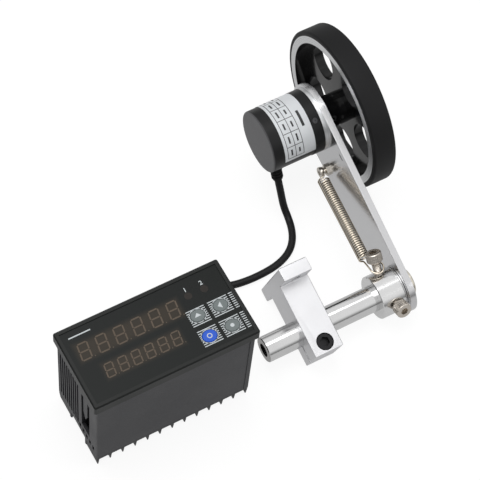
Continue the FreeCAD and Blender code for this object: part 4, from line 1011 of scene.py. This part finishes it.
spacer_radius = 0.0123
spacer_bore = 0.0042
spacer_low, spacer_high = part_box("spacer_washer")
spacer = ring((spacer_radius + spacer_bore) / 2, spacer_radius - spacer_bore, 96,
              spacer_high.x - spacer_low.x)
spacer_place = (Matrix.Translation((spacer_low.x, rod_axis.y, rod_axis.z))
                @ Matrix.Rotation(math.pi / 2, 4, "Y"))
fitted(repeated(spacer, [spacer_place], "spacer_ring"),
       turned_metal("spacer_plate", screen_colour(214, 214, 214), 0.3, rod_axis), "meter", "zinc_steel",
       "spacer_washer")


# The two socket screws of the collar: knurled heads on threaded shanks. One locks the
# collar, the other carries the spring's hook.
def threaded_rod(radius, depth, pitch, length):
    """A thread from the origin up along Z, wound from one turn of its profile."""
    mesh = bpy.data.meshes.new("thread")
    mesh.from_pydata([(radius - depth, 0, 0), (radius, 0, pitch * 0.4), (radius, 0, pitch * 0.6),
                      (radius - depth, 0, pitch)], [(0, 1), (1, 2), (2, 3)], [])
    rod = bpy.data.objects.new("thread", mesh)
    bpy.context.collection.objects.link(rod)
    only(rod)
    screw = rod.modifiers.new("thread", "SCREW")
    screw.axis = "Z"
    screw.screw_offset = pitch
    screw.iterations = int(length / pitch)
    screw.steps = 24
    screw.render_steps = 24
    screw.use_merge_vertices = True
    bpy.ops.object.modifier_apply(modifier=screw.name)
    bpy.ops.object.mode_set(mode="EDIT")
    bpy.ops.mesh.select_all(action="SELECT")
    bpy.ops.mesh.remove_doubles(threshold=1e-7)
    bpy.ops.mesh.select_mode(type="EDGE")
    bpy.ops.mesh.select_all(action="DESELECT")
    bpy.ops.mesh.select_non_manifold(extend=False)
    bpy.ops.mesh.edge_face_add()
    bpy.ops.mesh.select_all(action="SELECT")
    bpy.ops.mesh.normals_make_consistent(inside=False)
    bpy.ops.object.mode_set(mode="OBJECT")
    return rod


def socket_head(radius, height, socket, edge, ribs=40, rib_depth=0.00018):
    """A knurled cap with a six-sided socket, from the origin up along Z."""
    bpy.ops.mesh.primitive_cylinder_add(vertices=2 * ribs, radius=radius, depth=height - 2 * edge,
                                        location=(0, 0, height / 2))
    head = bpy.context.object
    settle(head)
    bpy.ops.object.mode_set(mode="EDIT")
    for way in (-1, 1):
        pick(head, lambda face: face.normal.z * way > 0.9)
        bpy.ops.mesh.extrude_region_move(TRANSFORM_OT_translate={"value": (0, 0, way * edge)})
        shrink = (radius - edge) / radius
        bpy.ops.transform.resize(value=(shrink, shrink, 1), center_override=(0, 0, 0))
    pick(head, lambda face: face.normal.z > 0.9)
    bpy.ops.mesh.inset(thickness=radius - edge - socket)
    bpy.ops.mesh.extrude_region_move(TRANSFORM_OT_translate={"value": (0, 0, -height * 0.55)})
    shape = bmesh.from_edit_mesh(head.data)
    for vertex in shape.verts:
        out = math.hypot(vertex.co.x, vertex.co.y)
        angle = math.atan2(vertex.co.y, vertex.co.x)
        if abs(out - socket) < edge * 0.1:
            within = (angle % math.radians(60)) - math.radians(30)
            share = socket * math.cos(math.radians(30)) / math.cos(within) / out
            vertex.co.x *= share
            vertex.co.y *= share
        elif out > radius - edge * 0.1 and round(angle / math.pi * ribs) % 2:
            vertex.co.x *= 1 - rib_depth / radius
            vertex.co.y *= 1 - rib_depth / radius
    bmesh.update_edit_mesh(head.data)
    bpy.ops.object.mode_set(mode="OBJECT")
    return head


def stood(piece, foot, way):
    """Turns a piece's Z along a direction and puts its origin at a point."""
    turn = Vector(way).to_track_quat("Z", "Y").to_matrix().to_4x4()
    piece.data.transform(Matrix.Translation(foot) @ turn)
    return piece


collar_screws = {
    "anchor_screw": {"x": 0.1388, "degrees": 49.5, "head": 0.0205},
    "lock_screw": {"x": 0.1405, "degrees": 157.5, "head": 0.0139},
}
m5_radius = 0.0025
m5_pitch = 0.0008
m5_thread_depth = 0.0003
m5_head_radius = 0.0046
m5_head_height = 0.0054
m5_socket = 0.0023
m5_head_edge = 0.0004
shank_foot = 0.0078
plated_screw = metal("plated_screw", screen_colour(200, 193, 184), 0.26, (1, 1, 1), 1500)
for name, screw in collar_screws.items():
    angle = math.radians(screw["degrees"])
    way = Vector((0, math.cos(angle), math.sin(angle)))
    foot = Vector((meter_middle.x + screw["x"], rod_axis.y, rod_axis.z))
    head = stood(socket_head(m5_head_radius, m5_head_height, m5_socket, m5_head_edge),
                 foot + way * screw["head"], way)
    shank_length = screw["head"] - shank_foot
    shank = stood(threaded_rod(m5_radius, m5_thread_depth, m5_pitch, shank_length),
                  foot + way * (screw["head"] - int(shank_length / m5_pitch) * m5_pitch), way)
    piece = joined([head, shank], name + "_knurled")
    bpy.ops.object.shade_smooth_by_angle(angle=math.radians(28))
    fitted(piece, plated_screw, "meter", "zinc_steel", name)


# The spring: bright wire of 1 mm wound close, with an open hook at each end, hung from the
# anchor screw to the post on the arm.
spring_radius = 0.0031
wire_radius = 0.0005
spring_turns = 40
coil_anchor_setback = 0.0075
coil_anchor_side = 0.0038
coil_post_setback = 0.0046
coil_post_side = 0.0021
hook_degrees = 270
hook_gap = 0.00025
post_shank_radius = 0.00175
anchor_neck_place = 0.0165
post_neck_setback = 0.0034
steps_per_turn = 20

anchor = collar_screws["anchor_screw"]
anchor_angle = math.radians(anchor["degrees"])
anchor_way = Vector((0, math.cos(anchor_angle), math.sin(anchor_angle)))
anchor_foot = Vector((meter_middle.x + anchor["x"], rod_axis.y, rod_axis.z))
anchor_neck = anchor_foot + anchor_way * anchor_neck_place
post_neck = arm_place(arm_low.x - post_neck_setback, post_along, post_up)
spring_way = (post_neck - anchor_neck).normalized()
rim = (Vector((1, 0, 0)) - spring_way * spring_way.x).normalized()
side = spring_way.cross(rim)
coil_start = anchor_neck + spring_way * coil_anchor_setback - rim * coil_anchor_side
coil_end = post_neck - spring_way * coil_post_setback - rim * coil_post_side
coil_way = (coil_end - coil_start).normalized()
coil_rim = (Vector((1, 0, 0)) - coil_way * coil_way.x).normalized()
coil_side = coil_way.cross(coil_rim)
spring_pitch = (coil_end - coil_start).length / spring_turns
lean = abs(anchor_way.dot(side))
anchor_hook = m5_radius / lean + wire_radius + hook_gap
post_hook = post_shank_radius + wire_radius + hook_gap


def hook_points(centre, way, side, radius):
    """An open hook round a neck, from its straight end on."""
    points = []
    steps = 14
    for i in range(steps + 1):
        angle = math.radians(hook_degrees * i / steps)
        points.append(centre + (side * math.cos(angle) + way * math.sin(angle)) * radius)
    return points


wire = list(reversed(hook_points(anchor_neck, spring_way * -1, rim * -1, anchor_hook)))
turn_count = spring_turns * steps_per_turn
for i in range(steps_per_turn // 4, turn_count - steps_per_turn // 4 + 1):
    angle = 2 * math.pi * i / steps_per_turn
    out = coil_rim * math.cos(angle) + coil_side * math.sin(angle)
    wire.append(coil_start + out * spring_radius + coil_way * (spring_pitch * i / steps_per_turn))
wire += hook_points(post_neck, spring_way, side * -1, post_hook)
spring_line = soft_line("spring_line", wire)
spring_line.data.resolution_u = 2
spring = as_tube(spring_line, wire_radius, 4)
spring.name = "wound_spring"
spring_nickel, tree, shader = new_finish("spring_nickel")
drawn = grain(tree, place_on(tree), 2500, 4.0)
# Painted shade: ambient occlusion turns the wire's colour dark brown where the turns hide each other,
# darkening the gaps between turns where shade falls.
turn_gap_shade = tree.nodes.new("ShaderNodeAmbientOcclusion")
turn_gap_shade.samples = 8
turn_gap_shade.inputs["Distance"].default_value = 4 * wire_radius
bright_wire = blended(tree, drawn, screen_colour(226, 214, 196), screen_colour(240, 230, 214))
unshaded_share = spread(tree, turn_gap_shade.outputs["AO"], 0.0, 1.0, 0.58, 0.97, smooth=True)
link(tree, blended(tree, unshaded_share, screen_colour(30, 24, 17), bright_wire), shader.inputs["Base Color"])
shader.inputs["Metallic"].default_value = 1.0
link(tree, spread(tree, drawn, 0.12, 0.24), shader.inputs["Roughness"])
raised(tree, shader, drawn, 0.000002)
spring.data.materials.append(spring_nickel)
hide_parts("tension_spring")
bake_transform(spring)

# The spring's post: a pan-headed screw with a cross recess, locked by its nut.
post_low, post_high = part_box("spring_post")
post_head_radius = (post_high.z - post_low.z) / 2
post_head_height = 0.0014
post_head_edge = 0.0005
recess_size = (0.0032, 0.0008, 0.0014)
recess_degrees = 20

bpy.ops.mesh.primitive_cylinder_add(vertices=48, radius=post_head_radius, depth=post_head_height,
                                    location=(0, 0, post_head_height / 2))
pan = bpy.context.object
settle(pan)
bpy.ops.object.mode_set(mode="EDIT")
pick(pan, lambda edge: all(v.co.z > post_head_height - 1e-6 for v in edge.verts), "EDGE")
bpy.ops.mesh.bevel(offset=post_head_edge, segments=4, profile=0.5, affect="EDGES")
bpy.ops.object.mode_set(mode="OBJECT")
for turn in (0, math.pi / 2):
    bpy.ops.mesh.primitive_cube_add(size=1, location=(0, 0, post_head_height),
                                    rotation=(0, 0, turn + math.radians(recess_degrees)))
    slot = bpy.context.object
    slot.scale = recess_size
    settle(slot)
    recess = pan.modifiers.new("recess", "BOOLEAN")
    recess.operation = "DIFFERENCE"
    recess.solver = "EXACT"
    recess.object = slot
    only(pan)
    bpy.ops.object.modifier_apply(modifier=recess.name)
    bpy.data.objects.remove(slot)
shank_length = arm_high.x - post_low.x - post_head_height
bpy.ops.mesh.primitive_cylinder_add(vertices=32, radius=post_shank_radius, depth=shank_length,
                                    location=(0, 0, -shank_length / 2))
shank = bpy.context.object
settle(shank)
post = joined([pan, shank], "pan_screw")
bpy.ops.object.shade_smooth_by_angle(angle=math.radians(30))
stood(post, arm_place(post_low.x + post_head_height, post_along, post_up), (-1, 0, 0))
post_nickel = metal("post_nickel", screen_colour(214, 208, 198), 0.32)
fitted(post, post_nickel, "arm", "nickel_steel", "spring_post")
give(post_nickel, "post_nut")


# The clamp block: milled aluminium with broken edges, split on its near side, with a black
# socket screw sunk in its top.
clamp_low, clamp_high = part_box("clamp_block")
clamp_edge = 0.0004
clamp_metal = metal("clamp_metal", screen_colour(212, 212, 214), 0.38, (1, 1, 1), 1600, 0.000003)
clamp = edged_copy("clamp_block", "clamp_body", clamp_edge, lambda edge: edge.calc_length() > 0.003)
fitted(clamp, clamp_metal, "clamp", "clamp_aluminium", "clamp_block")
give(metal("black_oxide", screen_colour(44, 44, 45), 0.38), "clamp_screw")
